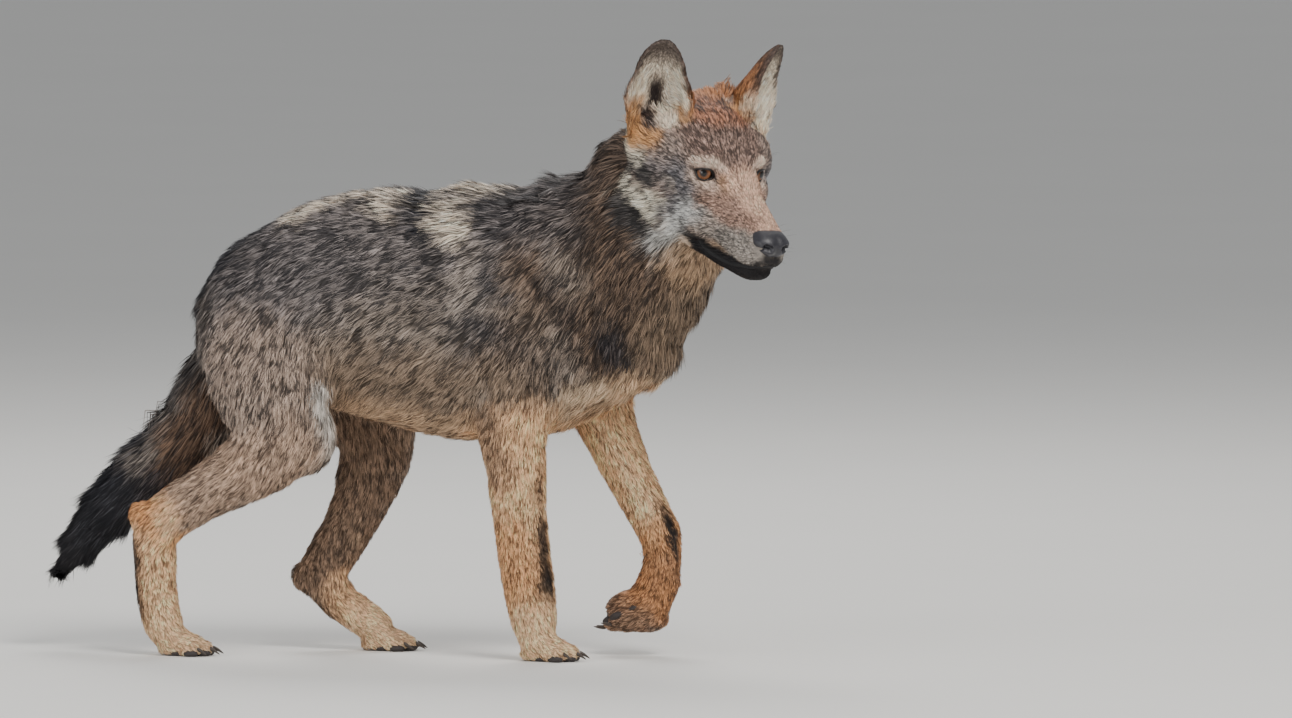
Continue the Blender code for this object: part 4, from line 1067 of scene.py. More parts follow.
def lid_margin(local):
    """Distance outside the opening of the nearer eye, large away from the face of the lids."""
    best = np.full(len(local), 1.0)
    for side in (-1, 1):
        centre, out, inward, up = (np.array(v) for v in lid_axes(side))
        rel = local - centre
        flat = np.column_stack([rel @ inward, rel @ up])
        ahead = rel @ out
        close = np.where((ahead > -0.004) & (np.linalg.norm(flat, axis=1) < 0.034))[0]
        ring = [lid_opening(step, LID_STEPS) for step in range(LID_STEPS)]
        edge = np.array([p[:] for p, _ in ring])
        way = np.array([w[:] for _, w in ring])
        gap = flat[close][:, None, :] - edge[None]
        nearest = np.argmin(np.linalg.norm(gap, axis=2), axis=1)
        rows = np.arange(len(close))
        distance = np.linalg.norm(gap[rows, nearest], axis=1)
        sign = np.sign(np.sum(gap[rows, nearest] * way[nearest], axis=1))
        best[close] = np.minimum(best[close], distance * sign)
    return best


# ---- the skin -----------------------------------------------------------------------------------
def region_numbers(points, local, ear_share):
    """Which coat each point belongs to."""
    names = ("trunk", "neck", "head", "ears", "forelegs", "hindlegs", "tail")
    region = np.zeros(len(points), int)
    x, y, z = points.T
    region[(z < 0.285 - 0.10 * (x - 0.12)) & (x > 0.03)] = 4
    region[(z < 0.285) & (x < 0.0)] = 5
    region[(x < -0.045) & (np.abs(y) > 0.050) & (z < 0.330)] = 5
    tail_line = np.array([row[:3] for row in LIMB_LIE[-1][1]]) / 1000
    gap = np.min([capsule_gap(points, a, b) for a, b in zip(tail_line, tail_line[1:])], axis=0)
    region[(gap < 0.046) & (x < -0.235) & (np.abs(y - 0.012) < 0.045) & (z < 0.47)] = 6
    region[(x > 0.165 + 0.5 * (0.55 - z)) & (z > 0.40)] = 1
    head_line = capsule_gap(local, (-0.085, 0, -0.01), (0.12, 0, -0.06))
    region[(head_line < 0.115) & (local[:, 0] > -0.105)] = 2
    region[ear_share > 0.5] = 3
    return names, region


def paw_frame(paw):
    """Where a paw stands and how it is turned, and its size."""
    at, heading, tip_down, size = PAW_PLACES[paw]
    turn = Matrix.Rotation(math.radians(heading), 4, "Z")
    tip = Matrix.Rotation(math.radians(tip_down), 4, "Y")
    return Matrix.Translation(SHIFT + Vector(at)) @ turn @ tip, size


def sole_share(points):
    """1 on the bare soles under the paws."""
    bare = np.zeros(len(points))
    for paw in PAW_PLACES:
        matrix, size = paw_frame(paw)
        local = rows_of(matrix.inverted(), points)
        long = PAW_LENGTH * size
        under = (local[:, 0] > -0.02) & (local[:, 0] < long * 0.82)
        under &= (np.abs(local[:, 1]) < 0.034) & (local[:, 2] > -0.012)
        if paw == "forepaw_left":
            under &= local[:, 0] > long * 0.60
        bare = np.maximum(bare, under * ease((0.0062 - local[:, 2]) / 0.003))
    return bare


def flatten_directions(ways, normals):
    """Ways laid down into the surface."""
    return unit(ways - normals * np.sum(ways * normals, axis=1, keepdims=True))


def build_skin(voxel, depth_scale):
    """One closed skin over all the flesh, sunk below the coat."""
    whole = joined("skin", [swollen_copy(node, 0.0004) for node in FLESH])
    voxel_form(whole, voxel, 3)
    thin = whole.modifiers.new("thin", "DECIMATE")
    thin.ratio = min(1.0, SKIN_TRIANGLES / (2 * len(whole.data.polygons)))
    settle(whole)
    mesh = whole.data
    outer = vertices_of(mesh)
    normals = normals_of(mesh)
    edges = edges_of(mesh)
    points = outer - np.array(SHIFT)
    local = rows_of(HEAD.inverted(), outer)
    lie = lie_over(points)
    colours = coat_colours(points, local)
    ear_share = dress_ears(points, local, normals, lie, colours)
    margin = lid_margin(local)
    nose_gap = capsule_gap(local, (0.100, 0, -0.052), (0.112, 0, -0.056))
    mirror = local.copy()
    mirror[:, 1] = np.abs(mirror[:, 1])
    calm = ease((margin + 0.001) / 0.012) * ease((nose_gap - 0.019) / 0.012)
    depth = lie[:, 3] * MM * depth_scale * (0.25 + 0.75 * calm)
    depth = np.minimum(depth, 0.0014 + 0.03 * (1 - ear_share))
    depth += 0.0016 * ease(1 - lip_distance(mirror) / 0.0045)
    for _ in range(6):
        depth = 0.5 * depth + 0.5 * neighbour_mean(depth[:, None], edges, len(depth))[:, 0]
    inner = outer.copy()
    for _ in range(6):
        set_vertices(mesh, inner)
        inner = inner - normals_of(mesh) * (depth / 6)[:, None]
        soft = neighbour_mean(inner, edges, len(inner))
        inner += (soft - inner) * (0.35 * ease(depth / 0.006))[:, None]
    set_vertices(mesh, inner)
    ways = flatten_directions(lie[:, :3], normals)
    for _ in range(8):
        ways = 0.5 * ways + 0.5 * neighbour_mean(ways, edges, len(ways))
        ways = flatten_directions(ways, normals)
    return whole, outer, edges, lie, colours, ways, ear_share, margin


def curl_along(points, normals, ways, edges):
    """How fast the surface turns away along the lie of the hair, to a metre."""
    total = np.zeros(len(points))
    weight = np.full(len(points), 1e-9)
    for a, b in ((edges[:, 0], edges[:, 1]), (edges[:, 1], edges[:, 0])):
        step = np.sum((points[b] - points[a]) * ways[a], axis=1)
        turn = np.sum((normals[b] - normals[a]) * ways[a], axis=1)
        total += np.bincount(a, step * turn, len(points))
        weight += np.bincount(a, step * step, len(points))
    curl = np.clip(total / weight, -15, 45)
    for _ in range(4):
        curl = neighbour_mean(curl[:, None], edges, len(curl))[:, 0]
    return curl


def sunk_under_lids(inner, margin, patches):
    """Keeps the skin round each eye below the lids and the eyeball."""
    inner = inner.copy()
    local = rows_of(HEAD.inverted(), inner)
    turn = np.array(HEAD.to_3x3())
    for side, (patch_points, quads) in zip((-1, 1), patches):
        tree = BVHTree.FromPolygons([tuple(p) for p in patch_points], [tuple(q) for q in quads])
        centre, out, inward, up = (np.array(v) for v in lid_axes(side))
        world_out = Vector(turn @ out)
        close = np.where((margin < 0.0062) & (local[:, 1] * side > 0))[0]
        for k in close:
            start = Vector(inner[k]) + world_out * 0.03
            hit = tree.ray_cast(start, -world_out, 0.08)
            rel = local[k] - centre
            high = rel @ out
            if hit[0] is not None:
                top = high + 0.03 - hit[3] - 0.0011
            else:
                flat = math.hypot(rel @ inward, rel @ up)
                top = ball_height(EYE_RADIUS, flat) - 0.002
            if high > top:
                inner[k] += turn @ out * (top - high)
    return inner


def make_skin():
    props = bpy.context.scene.wolf_coat
    built = build_skin(props.skin_grain, props.skin_depth)
    skin, outer, edges, lie, colours, ways, ear_share, margin = built
    mesh = skin.data
    ground = tree_of(mesh)
    patches = [lid_patch(side, ground) for side in (-1, 1)]
    inner = sunk_under_lids(vertices_of(mesh), margin, patches)
    triangles = triangles_of(mesh)
    count = len(inner)
    curl = curl_along(inner, normals_of(mesh), ways, edges)
    hidden = margin < 0.0052
    points, faces = [inner], [triangles]
    for patch_points, quads in patches:
        base = sum(len(p) for p in points)
        points.append(patch_points)
        faces.append(np.vstack([quads[:, [0, 1, 2]], quads[:, [0, 2, 3]]]) + base)
    inner = np.vstack(points)
    triangles = np.vstack(faces)
    extra = inner[count:]
    extra_body = extra - np.array(SHIFT)
    extra_local = rows_of(HEAD.inverted(), extra)
    made = mesh_from("skin", inner, triangles)
    all_normals = normals_of(made)
    extra_lie = lie_over(extra_body)
    extra_lie[:, 3:] = BARE_LID
    lie = np.vstack([lie, extra_lie])
    colours = np.vstack([colours, coat_colours(extra_body, extra_local)])
    extra_ways = flatten_directions(extra_lie[:, :3], all_normals[count:])
    ways = np.vstack([ways, extra_ways])
    margin = np.concatenate([margin, lid_margin(extra_local)])
    rim = ease(1 - (margin - 0.0016) / 0.0014)
    rim[:count] = 0
    rim = np.maximum(rim, 0.92 * tear_share(rows_of(HEAD.inverted(), inner)))
    dark = np.array([*linear((30, 26, 27)), *linear((16, 14, 16)), 0.6])
    colours += (dark - colours) * rim[:, None]
    grown_out = inner.copy()
    grown_out[:count] = outer
    soles = sole_share(grown_out)
    bare = np.maximum(rim, soles)
    hidden = np.concatenate([hidden, np.zeros(len(extra), bool)])
    local = rows_of(HEAD.inverted(), inner)
    mirror = local.copy()
    mirror[:, 1] = np.abs(mirror[:, 1])
    nose_gap = capsule_gap(mirror, (0.104, 0.004, -0.052), (0.112, 0.004, -0.056))
    thin_out = (1 - bare) * (1 - hidden)
    thin_out *= ease((lip_distance(mirror) - 0.0012) / 0.0012)
    thin_out *= ease((nose_gap - 0.0165) / 0.003)
    on_lids = margin[count:]
    thin_out[count:] *= ease((on_lids - 0.0018) / 0.0008) * ease((0.0078 - on_lids) / 0.001)
    paint(colours, "pad", soles)
    ear_share = np.concatenate([ear_share, np.zeros(len(extra))])
    names, region = region_numbers(grown_out - np.array(SHIFT), local, ear_share)
    region[count:] = 2
    old = skin.data
    skin.data = made
    bpy.data.meshes.remove(old)
    light, deep, share = colours[:, :3], colours[:, 3:6], colours[:, 6:7]
    # Painted shade: the skin under the coat takes the hairs' colour darkened as if in the shade of
    # the hair, less under short hair.
    under = (light * (1 - share) + deep * share) * 0.55
    under = under + (light * 0.8 - under) * ease(1 - lie[:, 4:5] / 7.0)
    flat = np.column_stack([under * (1 - rim[:, None]) + deep * rim[:, None], np.ones(len(under))])
    point_attribute(made, "skin_colour", "FLOAT_COLOR", flat)
    point_attribute(made, "bare", "FLOAT", bare)
    finish(made, skin_material())
    MADE["skin"] = {
        "points": inner,
        "outer": grown_out,
        "normals": all_normals,
        "ways": ways,
        "lie": lie,
        "colours": colours,
        "curl": np.concatenate([curl, np.full(len(extra), 40.0)]),
        "thin": thin_out,
        "region": region,
        "names": names,
        "triangles": triangles,
        "uv": unwrap(skin),
    }
    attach(skin, "root")
    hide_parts(*FLESH)


def unwrap(obj):
    """Unwraps the skin by its own shape and returns each triangle's three corners."""
    bpy.context.view_layer.objects.active = obj
    for other in bpy.context.selected_objects:
        other.select_set(False)
    obj.select_set(True)
    obj.data.uv_layers.new(name="OFBake")
    bpy.ops.object.mode_set(mode="EDIT")
    bpy.ops.mesh.select_all(action="SELECT")
    bpy.ops.uv.smart_project(angle_limit=math.radians(66), island_margin=0.001)
    bpy.ops.object.mode_set(mode="OBJECT")
    return read(obj.data.uv_layers["OFBake"].uv, "vector", 2).reshape(-1, 3, 2)


def skin_tree():
    """The finished skin's surface, made once."""
    if "skin_tree" not in MADE:
        points, triangles = MADE["skin"]["points"], MADE["skin"]["triangles"]
        polygons = [tuple(t) for t in triangles]
        MADE["skin_tree"] = BVHTree.FromPolygons([tuple(p) for p in points], polygons)
    return MADE["skin_tree"]


# ---- the coat -----------------------------------------------------------------------------------
def roots_in(region_name, scale, rng):
    """Picks rooting places in a region and gives each its blended values."""
    skin = MADE["skin"]
    triangles = skin["triangles"]
    wanted = skin["names"].index(region_name)
    own = np.where(np.median(skin["region"][triangles], axis=1).astype(int) == wanted)[0]
    corners = skin["outer"][triangles[own]]
    side = np.cross(corners[:, 1] - corners[:, 0], corners[:, 2] - corners[:, 0])
    area = 0.5 * np.linalg.norm(side, axis=1) * 1e4
    locks = skin["lie"][:, 6] * skin["thin"]
    expected = area * locks[triangles[own]].mean(axis=1) * scale
    running = np.cumsum(expected)
    count = int(running[-1])
    ticks = (np.arange(count) + rng.random(count)) * running[-1] / count
    pick = own[np.searchsorted(running, ticks).clip(0, len(own) - 1)]
    r1, r2 = np.sqrt(rng.random(count)), rng.random(count)
    share = np.column_stack([1 - r1, r1 * (1 - r2), r1 * r2])
    corner = triangles[pick]

    def blend(values):
        return np.einsum("nk,nkd->nd", share, values[corner])

    return {
        "root": blend(skin["points"]),
        "normal": unit(blend(skin["normals"])),
        "way": unit(blend(skin["ways"])),
        "lie": blend(skin["lie"]),
        "colours": blend(skin["colours"]),
        "curl": blend(skin["curl"][:, None])[:, 0],
        "uv": np.einsum("nk,nkd->nd", share, skin["uv"][pick]),
    }


def tufts(roots, normals, every, rng):
    """For each lock the nearest of a random few on its own side, so that locks gather in tufts."""
    chosen = rng.choice(len(roots), max(1, len(roots) // every), replace=False)
    tree = KDTree(len(chosen))
    for k in chosen:
        tree.insert(roots[k], int(k))
    tree.balance()
    guide = np.array([tree.find(p)[1] for p in roots])
    astray = np.sum(normals * normals[guide], axis=1) < 0.4
    guide[astray] = np.where(astray)[0]
    return guide


def kept_above(points, least, most):
    """Moves points along the skin's normal so that they lie between two heights over it."""
    find = skin_tree().find_nearest
    moved = points.copy()
    for k, point in enumerate(points):
        place, facing, _, gap = find(point)
        high = gap if (Vector(point) - place).dot(facing) > 0 else -gap
        if high < least[k]:
            moved[k] += np.array(facing) * (least[k] - high)
        elif high > most[k]:
            moved[k] -= np.array(facing) * (high - most[k]) * 0.6
    return moved


def locks_of_hair(r, rng, ruffle, loft):
    """Points, normals and colours of thin tapering locks, five points to a lock, each darkened
    toward its root with painted shade.
    """
    count = len(r["root"])
    normal, way = r["normal"], flatten_directions(r["way"], r["normal"])
    across = np.cross(normal, way)
    lie = r["lie"]
    fine, broad = tufts(r["root"], normal, 7, rng), tufts(r["root"], normal, 60, rng)

    def swing_of(amount_fine, amount_broad):
        own = rng.random(count) - 0.5
        wide = rng.random(count) - 0.5
        return own[fine] * amount_fine + wide[broad] * amount_broad

    swing = (swing_of(0.34, 0.38) + rng.normal(0, 0.10, count)) * ruffle
    way = way * np.cos(swing)[:, None] + across * np.sin(swing)[:, None]
    across = np.cross(normal, way)
    length = lie[:, 4] * MM * rng.uniform(0.74, 1.12, count) * (1 + swing_of(0.25, 0.15))
    width = lie[:, 5] * MM * rng.uniform(0.75, 1.27, count)
    lift = 0.90 + swing_of(0.42, 0.30) * ruffle
    depth = lie[:, 3] * MM * lift * loft * rng.uniform(0.72, 1.06, count)
    curl = r["curl"]
    gather = r["root"][fine] - r["root"]
    gather -= normal * np.sum(gather * normal, axis=1, keepdims=True)

    def place(along, rise, sideways, pull):
        arc = length * along
        bend = np.clip(curl * arc, -0.9, 1.2)
        out = depth * rise - 0.5 * curl * arc * arc
        on = arc * (1 - bend * bend / 6)
        point = r["root"] + way * on[:, None] + normal * out[:, None]
        point = point + across * (sideways * length)[:, None] + gather * pull
        facing = normal * np.cos(bend)[:, None] + way * np.sin(bend)[:, None]
        return point, facing

    bow = rng.normal(0, 0.030, count)
    root, root_face = place(-0.02, -0.06, np.zeros(count), 0.0)
    middle, middle_face = place(0.50, 0.72, bow, 0.30)
    tip, tip_face = place(0.97, 1.0, bow * 0.4, 0.60)
    middle = kept_above(middle, depth * 0.45, depth * 1.1)
    tip = kept_above(tip, depth * 0.62, depth * 1.5)
    roll = rng.uniform(-0.6, 0.6, count)
    broadside = across * np.cos(roll)[:, None] + normal * np.sin(roll)[:, None]
    half = broadside * (width / 2)[:, None]
    base = half * 0.8
    points = np.stack([root - base, root + base, middle - half, middle + half, tip], axis=1)
    points[:, :, 2] = np.maximum(points[:, :, 2], 0.0003)
    turned = -across * np.sin(roll)[:, None] + normal * np.cos(roll)[:, None]
    tilt = rng.normal(0, 0.10, (count, 3)) + rng.normal(0, 0.16, (count, 3))[fine]
    faces = np.stack([root_face, root_face, middle_face, middle_face, tip_face], axis=1)
    shade = unit(faces * 0.72 + turned[:, None] * 0.35 + tilt[:, None])
    colours = r["colours"].copy()
    stray = rng.random(count)
    colours[stray < 0.30] = colours[fine][stray < 0.30]
    colours[stray > 0.78] = colours[broad][stray > 0.78]
    share = colours[:, 6]
    share = np.clip(share + swing_of(1.1, 0.4) * 4 * share * (1 - share), 0, 1)
    dark = rng.random(count) < share
    light, deep = colours[:, :3], colours[:, 3:6]
    tone = (rng.uniform(0.80, 1.20, count) * (1 + swing_of(0.55, 0.20)))[:, None]
    pale = light * tone
    # Painted shade: each lock is darkened toward its root as if in the shade of the coat, less in
    # short hair.
    shaded_root_tone = (light * 0.55 + deep * 0.45) * 0.40
    short = ease(1 - lie[:, 4:5] / 8.0)
    shaded_root_tone = shaded_root_tone + (pale * 0.75 - shaded_root_tone) * short
    middle_tone = np.where(dark[:, None], pale * 0.25 + deep * 0.75, pale)
    swap = rng.random(count) < 0.42
    dark_tip = np.where(swap, rng.random(count) < share, dark)
    tip_tone = np.where(dark_tip[:, None], deep * tone, pale * 1.15)
    tones = np.stack([shaded_root_tone, shaded_root_tone, middle_tone, middle_tone, tip_tone], axis=1)
    return points, shade, np.clip(tones, 0, 1), r["uv"]


def hair_mesh(name, points, shade, tones, uv):
    """A mesh of locks, three triangles to a lock."""
    count = len(points)
    start = (np.arange(count) * 5)[:, None, None]
    pattern = np.array([[0, 3, 1], [0, 2, 3], [2, 4, 3]])
    faces = (start + pattern[None]).reshape(-1, 3)
    mesh = mesh_from(name, points.reshape(-1, 3), faces)
    alpha = np.ones((count * 5, 1))
    point_attribute(mesh, "hair_colour", "FLOAT_COLOR", np.hstack([tones.reshape(-1, 3), alpha]))
    patch = np.array([[-1, -1], [1, -1], [-1, 0], [1, 0], [0, 1]]) * PATCH_HALF
    corner_uv = np.clip(uv[:, None] + patch[None], 0, 1)[:, pattern.ravel()]
    layer = mesh.uv_layers.new(name="OFBake")
    layer.uv.foreach_set("vector", corner_uv.astype(np.float32).ravel())
    mesh.normals_split_custom_set_from_vertices(shade.reshape(-1, 3))
    return mesh


def make_coat(region_name, seed, ruffle=1.0, loft=1.06):
    """The coat of one region, in as many pieces as its locks need."""
    props = bpy.context.scene.wolf_coat
    scale = props.fullness * COAT_SHARE
    rng = np.random.default_rng(seed)
    roots = roots_in(region_name, scale, rng)
    count = len(roots["root"])
    if count < 100:
        raise RuntimeError(f"the {region_name} has no room for its coat")
    parts = math.ceil(count / LOCKS_IN_A_PIECE)
    order = np.argsort(roots["root"][:, 0], kind="stable")
    for part, rows in enumerate(np.array_split(order, parts)):
        own = {key: values[rows] for key, values in roots.items()}
        name = f"coat_{region_name}" + (f"_{part + 1}" if parts > 1 else "")
        mesh = hair_mesh(name, *locks_of_hair(own, rng, ruffle, loft))
        coat = link(name, mesh)
        finish(mesh, MADE["hair"])
        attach(coat, "root")


# ---- eyes, nose, lips, claws and pads -----------------------------------------------------------
def make_eyes():
    """Each eyeball bulges a little at the iris and looks along its own way."""
    made = eye_material()
    for side, node in ((-1, "eye_right"), (1, "eye_left")):
        gaze = HEAD.to_3x3() @ Vector(GAZE[side])
        turn = Vector((0, 0, 1)).rotation_difference(gaze).to_matrix().to_4x4()
        eye = joined(f"eyeball_{'right' if side < 0 else 'left'}", [ball(72, 60, EYE_RADIUS)])
        mesh = eye.data
        flat = vertices_of(mesh)
        arc = np.degrees(np.arccos(np.clip(flat[:, 2] / EYE_RADIUS, -1, 1)))
        round_it = np.arctan2(flat[:, 1], flat[:, 0])
        point_attribute(mesh, "arc", "FLOAT", arc)
        out = np.array(turn.to_3x3() @ Vector((0, 0, 1)))
        # Painted shade: the top of the eyeball is darkened as if in the shadow of the upper lid.
        high = (rows_of(turn, flat) / EYE_RADIUS - out)[:, 2]
        shade = 0.30 + 0.70 * ease((0.34 - high) / 0.42)
        point_attribute(mesh, "lid_shade", "FLOAT", shade)
        fibre = np.column_stack([np.cos(round_it) * 9, np.sin(round_it) * 9, arc * 0.05])
        point_attribute(mesh, "fibre", "FLOAT_VECTOR", fibre)
        flat *= (1 + 0.035 * ease((IRIS_ARC + 4 - arc) / 26))[:, None]
        place = Matrix.Translation(HEAD @ Vector(mirrored(EYE_CENTRE, side))) @ turn
        set_vertices(mesh, rows_of(place, flat))
        mesh.shade_smooth()
        finish(mesh, made)
        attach(eye, "root")
        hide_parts(node)


def dented(points, a, b, radius, depth, way):
    """Moves points near the line from a to b along a way, most at the line itself."""
    push = depth * ease(1 - capsule_gap(points, a, b) / radius)
    return points + push[:, None] * np.array(unit(np.array(way, float)))


def nose_form():
    """The nose pad as a rounded block: a flat top, wings at the sides, a front that falls back."""
    obj = joined("nose_pad", [ball(150, 110)])
    points = vertices_of(obj.data)
    points = np.sign(points) * np.abs(points) ** 0.80
    x, y, z = points.T.copy()
    low = np.clip(-z, 0, 1)
    wide = 1 - 0.42 * low**1.6 * ease((x + 0.9) / 0.9) + 0.05 * ease(-x / 0.8)
    middle = 1 - 0.10 * np.exp(-((y / 0.22) ** 2)) * ease((x - 0.2) / 0.6)
    forward = (x * middle - 0.34 * low**1.4 * ease((x + 0.2) / 0.8)) * 0.0212
    upward = z * 0.0150 - 0.0042 * x - 0.0016 * (1 - y * y) * ease(-z) * ease(x)
    local = np.column_stack([forward, y * wide * 0.0228, upward]) + np.array((0.1018, 0, -0.0503))
    return obj, local


def make_nose():
    nose, local = nose_form()
    for side in (-1, 1):
        hole = (0.1205, side * 0.0105, -0.0532)
        deep = (0.1190, side * 0.0142, -0.0525)
        local = dented(local, hole, deep, 0.0062, 0.0082, (-1, side * -0.30, 0.25))
        front, back = (0.1160, side * 0.0178, -0.0545), (0.1035, side * 0.0238, -0.0580)
        local = dented(local, front, back, 0.0030, 0.0048, (-0.5, side * -1, 0.2))
        front, back = (0.1120, side * 0.0210, -0.0470), (0.1030, side * 0.0235, -0.0500)
        local = dented(local, front, back, 0.0065, 0.0010, (0.4, side, 0.1))
    local = dented(local, (0.1250, 0, -0.049), (0.1120, 0, -0.070), 0.0016, 0.0014, (-1, 0, 0))
    mesh = nose.data
    set_vertices(mesh, rows_of(HEAD, local))
    mesh.shade_smooth()
    finish(mesh, leather_material("nose_leather", (40, 39, 46), 1050.0, 0.38, 0.0005, 0.3))
    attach(nose, "root")
    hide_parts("nose")


def tube_along(line, radii):
    """A closed round band along a line of points."""
    turns = 12
    ways = unit(np.gradient(line, axis=0))
    side = unit(np.cross(ways, np.array((0.0, 0.0, 1.0))))
    up = np.cross(side, ways)
    angle = (np.arange(turns) * 2 * math.pi / turns)[None, :, None]
    ring = side[:, None] * np.cos(angle) + up[:, None] * np.sin(angle)
    points = (line[:, None] + ring * np.array(radii)[:, None, None]).reshape(-1, 3)
    bm = bmesh.new()
    made = [bm.verts.new(p) for p in points]
    for row in range(len(line) - 1):
        for k in range(turns):
            n = (k + 1) % turns
            a, b = row * turns + k, row * turns + n
            bm.faces.new([made[i] for i in (a, b, b + turns, a + turns)])
    bm.faces.new(made[:turns][::-1])
    bm.faces.new(made[-turns:])
    bmesh.ops.recalc_face_normals(bm, faces=bm.faces)
    return bm


def smooth_line(places, count):
    """More points on a smooth line through places."""
    places = np.array(places, float)
    at = np.linspace(0, len(places) - 1, count)
    full = np.column_stack([np.interp(at, np.arange(len(places)), places[:, k]) for k in range(3)])
    for _ in range(6):
        full[1:-1] += 0.5 * (0.5 * (full[:-2] + full[2:]) - full[1:-1])
    return full


def make_lips():
    tree = skin_tree()
    parts = []
    for side in (-1, 1):
        base = smooth_line(mirrored(MOUTH, side), 46)
        along = np.linspace(0, 1, 46)
        for rise, thick in ((0.0010, (0.0018, 0.0010)), (-0.0014, (0.0022, 0.0015))):
            line = base + np.array((0, 0, rise)) * np.clip(along * 4, 0.2, 1)[:, None]
            world = rows_of(HEAD, line)
            seat = np.array([tree.find_nearest(Vector(p))[0][:] for p in world])
            seat[1:-1] = 0.5 * seat[1:-1] + 0.25 * (seat[:-2] + seat[2:])
            parts.append(tube_along(seat, np.interp(along, (0, 1), thick)))
    lips = voxel_form(joined("lips", parts), 0.0008, 5)
    lips.data.shade_smooth()
    finish(lips.data, leather_material("lip_leather", (18, 17, 19), 1500.0, 0.72, 0.0002))
    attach(lips, "root")


def make_claws():
    nodes = sorted(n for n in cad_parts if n.startswith("claw_"))
    claws = joined("claws", [swollen_copy(node, 0.0) for node in nodes])
    rounding = claws.modifiers.new("round", "SUBSURF")
    rounding.levels = rounding.render_levels = 2
    settle(claws)
    mesh = claws.data
    mesh.shade_smooth()
    made, tree = node_tree("claw_horn")
    shader = shader_of(tree, 0.42)
    tone = toned(tree, shader, linear((64, 54, 47)), 300.0, 0.9)
    bump_into(tree, tone.outputs["Height"], shader, 0.35, 0.0005)
    finish(mesh, made)
    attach(claws, "root")
    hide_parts(*nodes)


def make_pads():
    parts = []
    for paw in PAW_PLACES:
        matrix, size = paw_frame(paw)
        long, wide = PAW_LENGTH * size, PAW_WIDTH * size
        for across, forward in TOES:
            toe = (long * (forward - 0.13), wide * across, PAD_RISE)
            parts.append(ellipsoid(toe, (0.0095, 0.0072, 0.0050), matrix))
        for across, forward in ((0, 0.42), (-0.17, 0.33), (0.17, 0.33)):
            heel = (long * (forward - 0.10), wide * across, PAD_RISE)
            parts.append(ellipsoid(heel, (0.0115, 0.0098, 0.0054), matrix))
    pads = voxel_form(joined("paw_pads", parts), 0.0012, 3)
    points = vertices_of(pads.data)
    points[:, 2] = np.maximum(points[:, 2], 0.0002)
    set_vertices(pads.data, points)
    pads.data.shade_smooth()
    finish(pads.data, leather_material("pad_leather", (54, 47, 46), 900.0, 0.62, 0.0006))
    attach(pads, "root")


# ---- whiskers and brow bristles -----------------------------------------------------------------
def bristle_tree():
    """Geometry Nodes: one curved tapering bristle on each point, turned to the point's way."""
    group = bpy.data.node_groups.new("Bristles", "GeometryNodeTree")
    face = group.interface
    face.new_socket("Geometry", in_out="INPUT", socket_type="NodeSocketGeometry")
    for name, value in (("Thickness", 0.0003), ("Droop", 0.18)):
        socket = face.new_socket(name, in_out="INPUT", socket_type="NodeSocketFloat")
        socket.default_value = value
    seed = face.new_socket("Seed", in_out="INPUT", socket_type="NodeSocketInt")
    seed.default_value = 5
    face.new_socket("Material", in_out="INPUT", socket_type="NodeSocketMaterial")
    face.new_socket("Geometry", in_out="OUTPUT", socket_type="NodeSocketGeometry")
    join = group.links.new

    def node(kind, inputs=(), **values):
        return add_node(group, kind, inputs, **values)

    start, end = node("NodeGroupInput"), node("NodeGroupOutput")
    bent = {"Resolution": 7, "Start": (0, 0, 0), "Middle": (0, 0, 0.5)}
    curve = node("GeometryNodeCurveQuadraticBezier", bent)
    tip = node("ShaderNodeCombineXYZ", {"Z": 0.96})
    join(start.outputs["Droop"], tip.inputs["X"])
    join(tip.outputs[0], curve.inputs["End"])
    ring = node("GeometryNodeCurvePrimitiveCircle", {"Resolution": 4, "Radius": 1.0})
    along = node("GeometryNodeSplineParameter")
    thin = node("ShaderNodeMapRange", {"To Min": 1.0, "To Max": 0.12})
    join(along.outputs["Factor"], thin.inputs["Value"])
    scaled = node("ShaderNodeMath", operation="MULTIPLY")
    join(thin.outputs["Result"], scaled.inputs[0])
    join(start.outputs["Thickness"], scaled.inputs[1])
    named = "GeometryNodeInputNamedAttribute"
    length = node(named, {"Name": "length"}, data_type="FLOAT")
    body = node("GeometryNodeCurveToMesh", {"Fill Caps": True})
    join(curve.outputs[0], body.inputs["Curve"])
    join(ring.outputs[0], body.inputs["Profile Curve"])
    join(scaled.outputs[0], body.inputs["Scale"])
    way = node(named, {"Name": "way"}, data_type="FLOAT_VECTOR")
    turn = node("FunctionNodeAlignRotationToVector", axis="Z")
    join(way.outputs["Attribute"], turn.inputs["Vector"])
    spread = node("FunctionNodeRandomValue", {2: 0.75, 3: 1.15}, data_type="FLOAT")
    join(start.outputs["Seed"], spread.inputs["Seed"])
    size = node("ShaderNodeMath", operation="MULTIPLY")
    join(spread.outputs[1], size.inputs[0])
    join(length.outputs["Attribute"], size.inputs[1])
    put = node("GeometryNodeInstanceOnPoints")
    join(start.outputs["Geometry"], put.inputs["Points"])
    join(body.outputs[0], put.inputs["Instance"])
    join(turn.outputs[0], put.inputs["Rotation"])
    join(size.outputs[0], put.inputs["Scale"])
    real = node("GeometryNodeRealizeInstances")
    join(put.outputs[0], real.inputs[0])
    dressed = node("GeometryNodeSetMaterial")
    join(real.outputs[0], dressed.inputs["Geometry"])
    join(start.outputs["Material"], dressed.inputs["Material"])
    join(dressed.outputs[0], end.inputs["Geometry"])
    return group


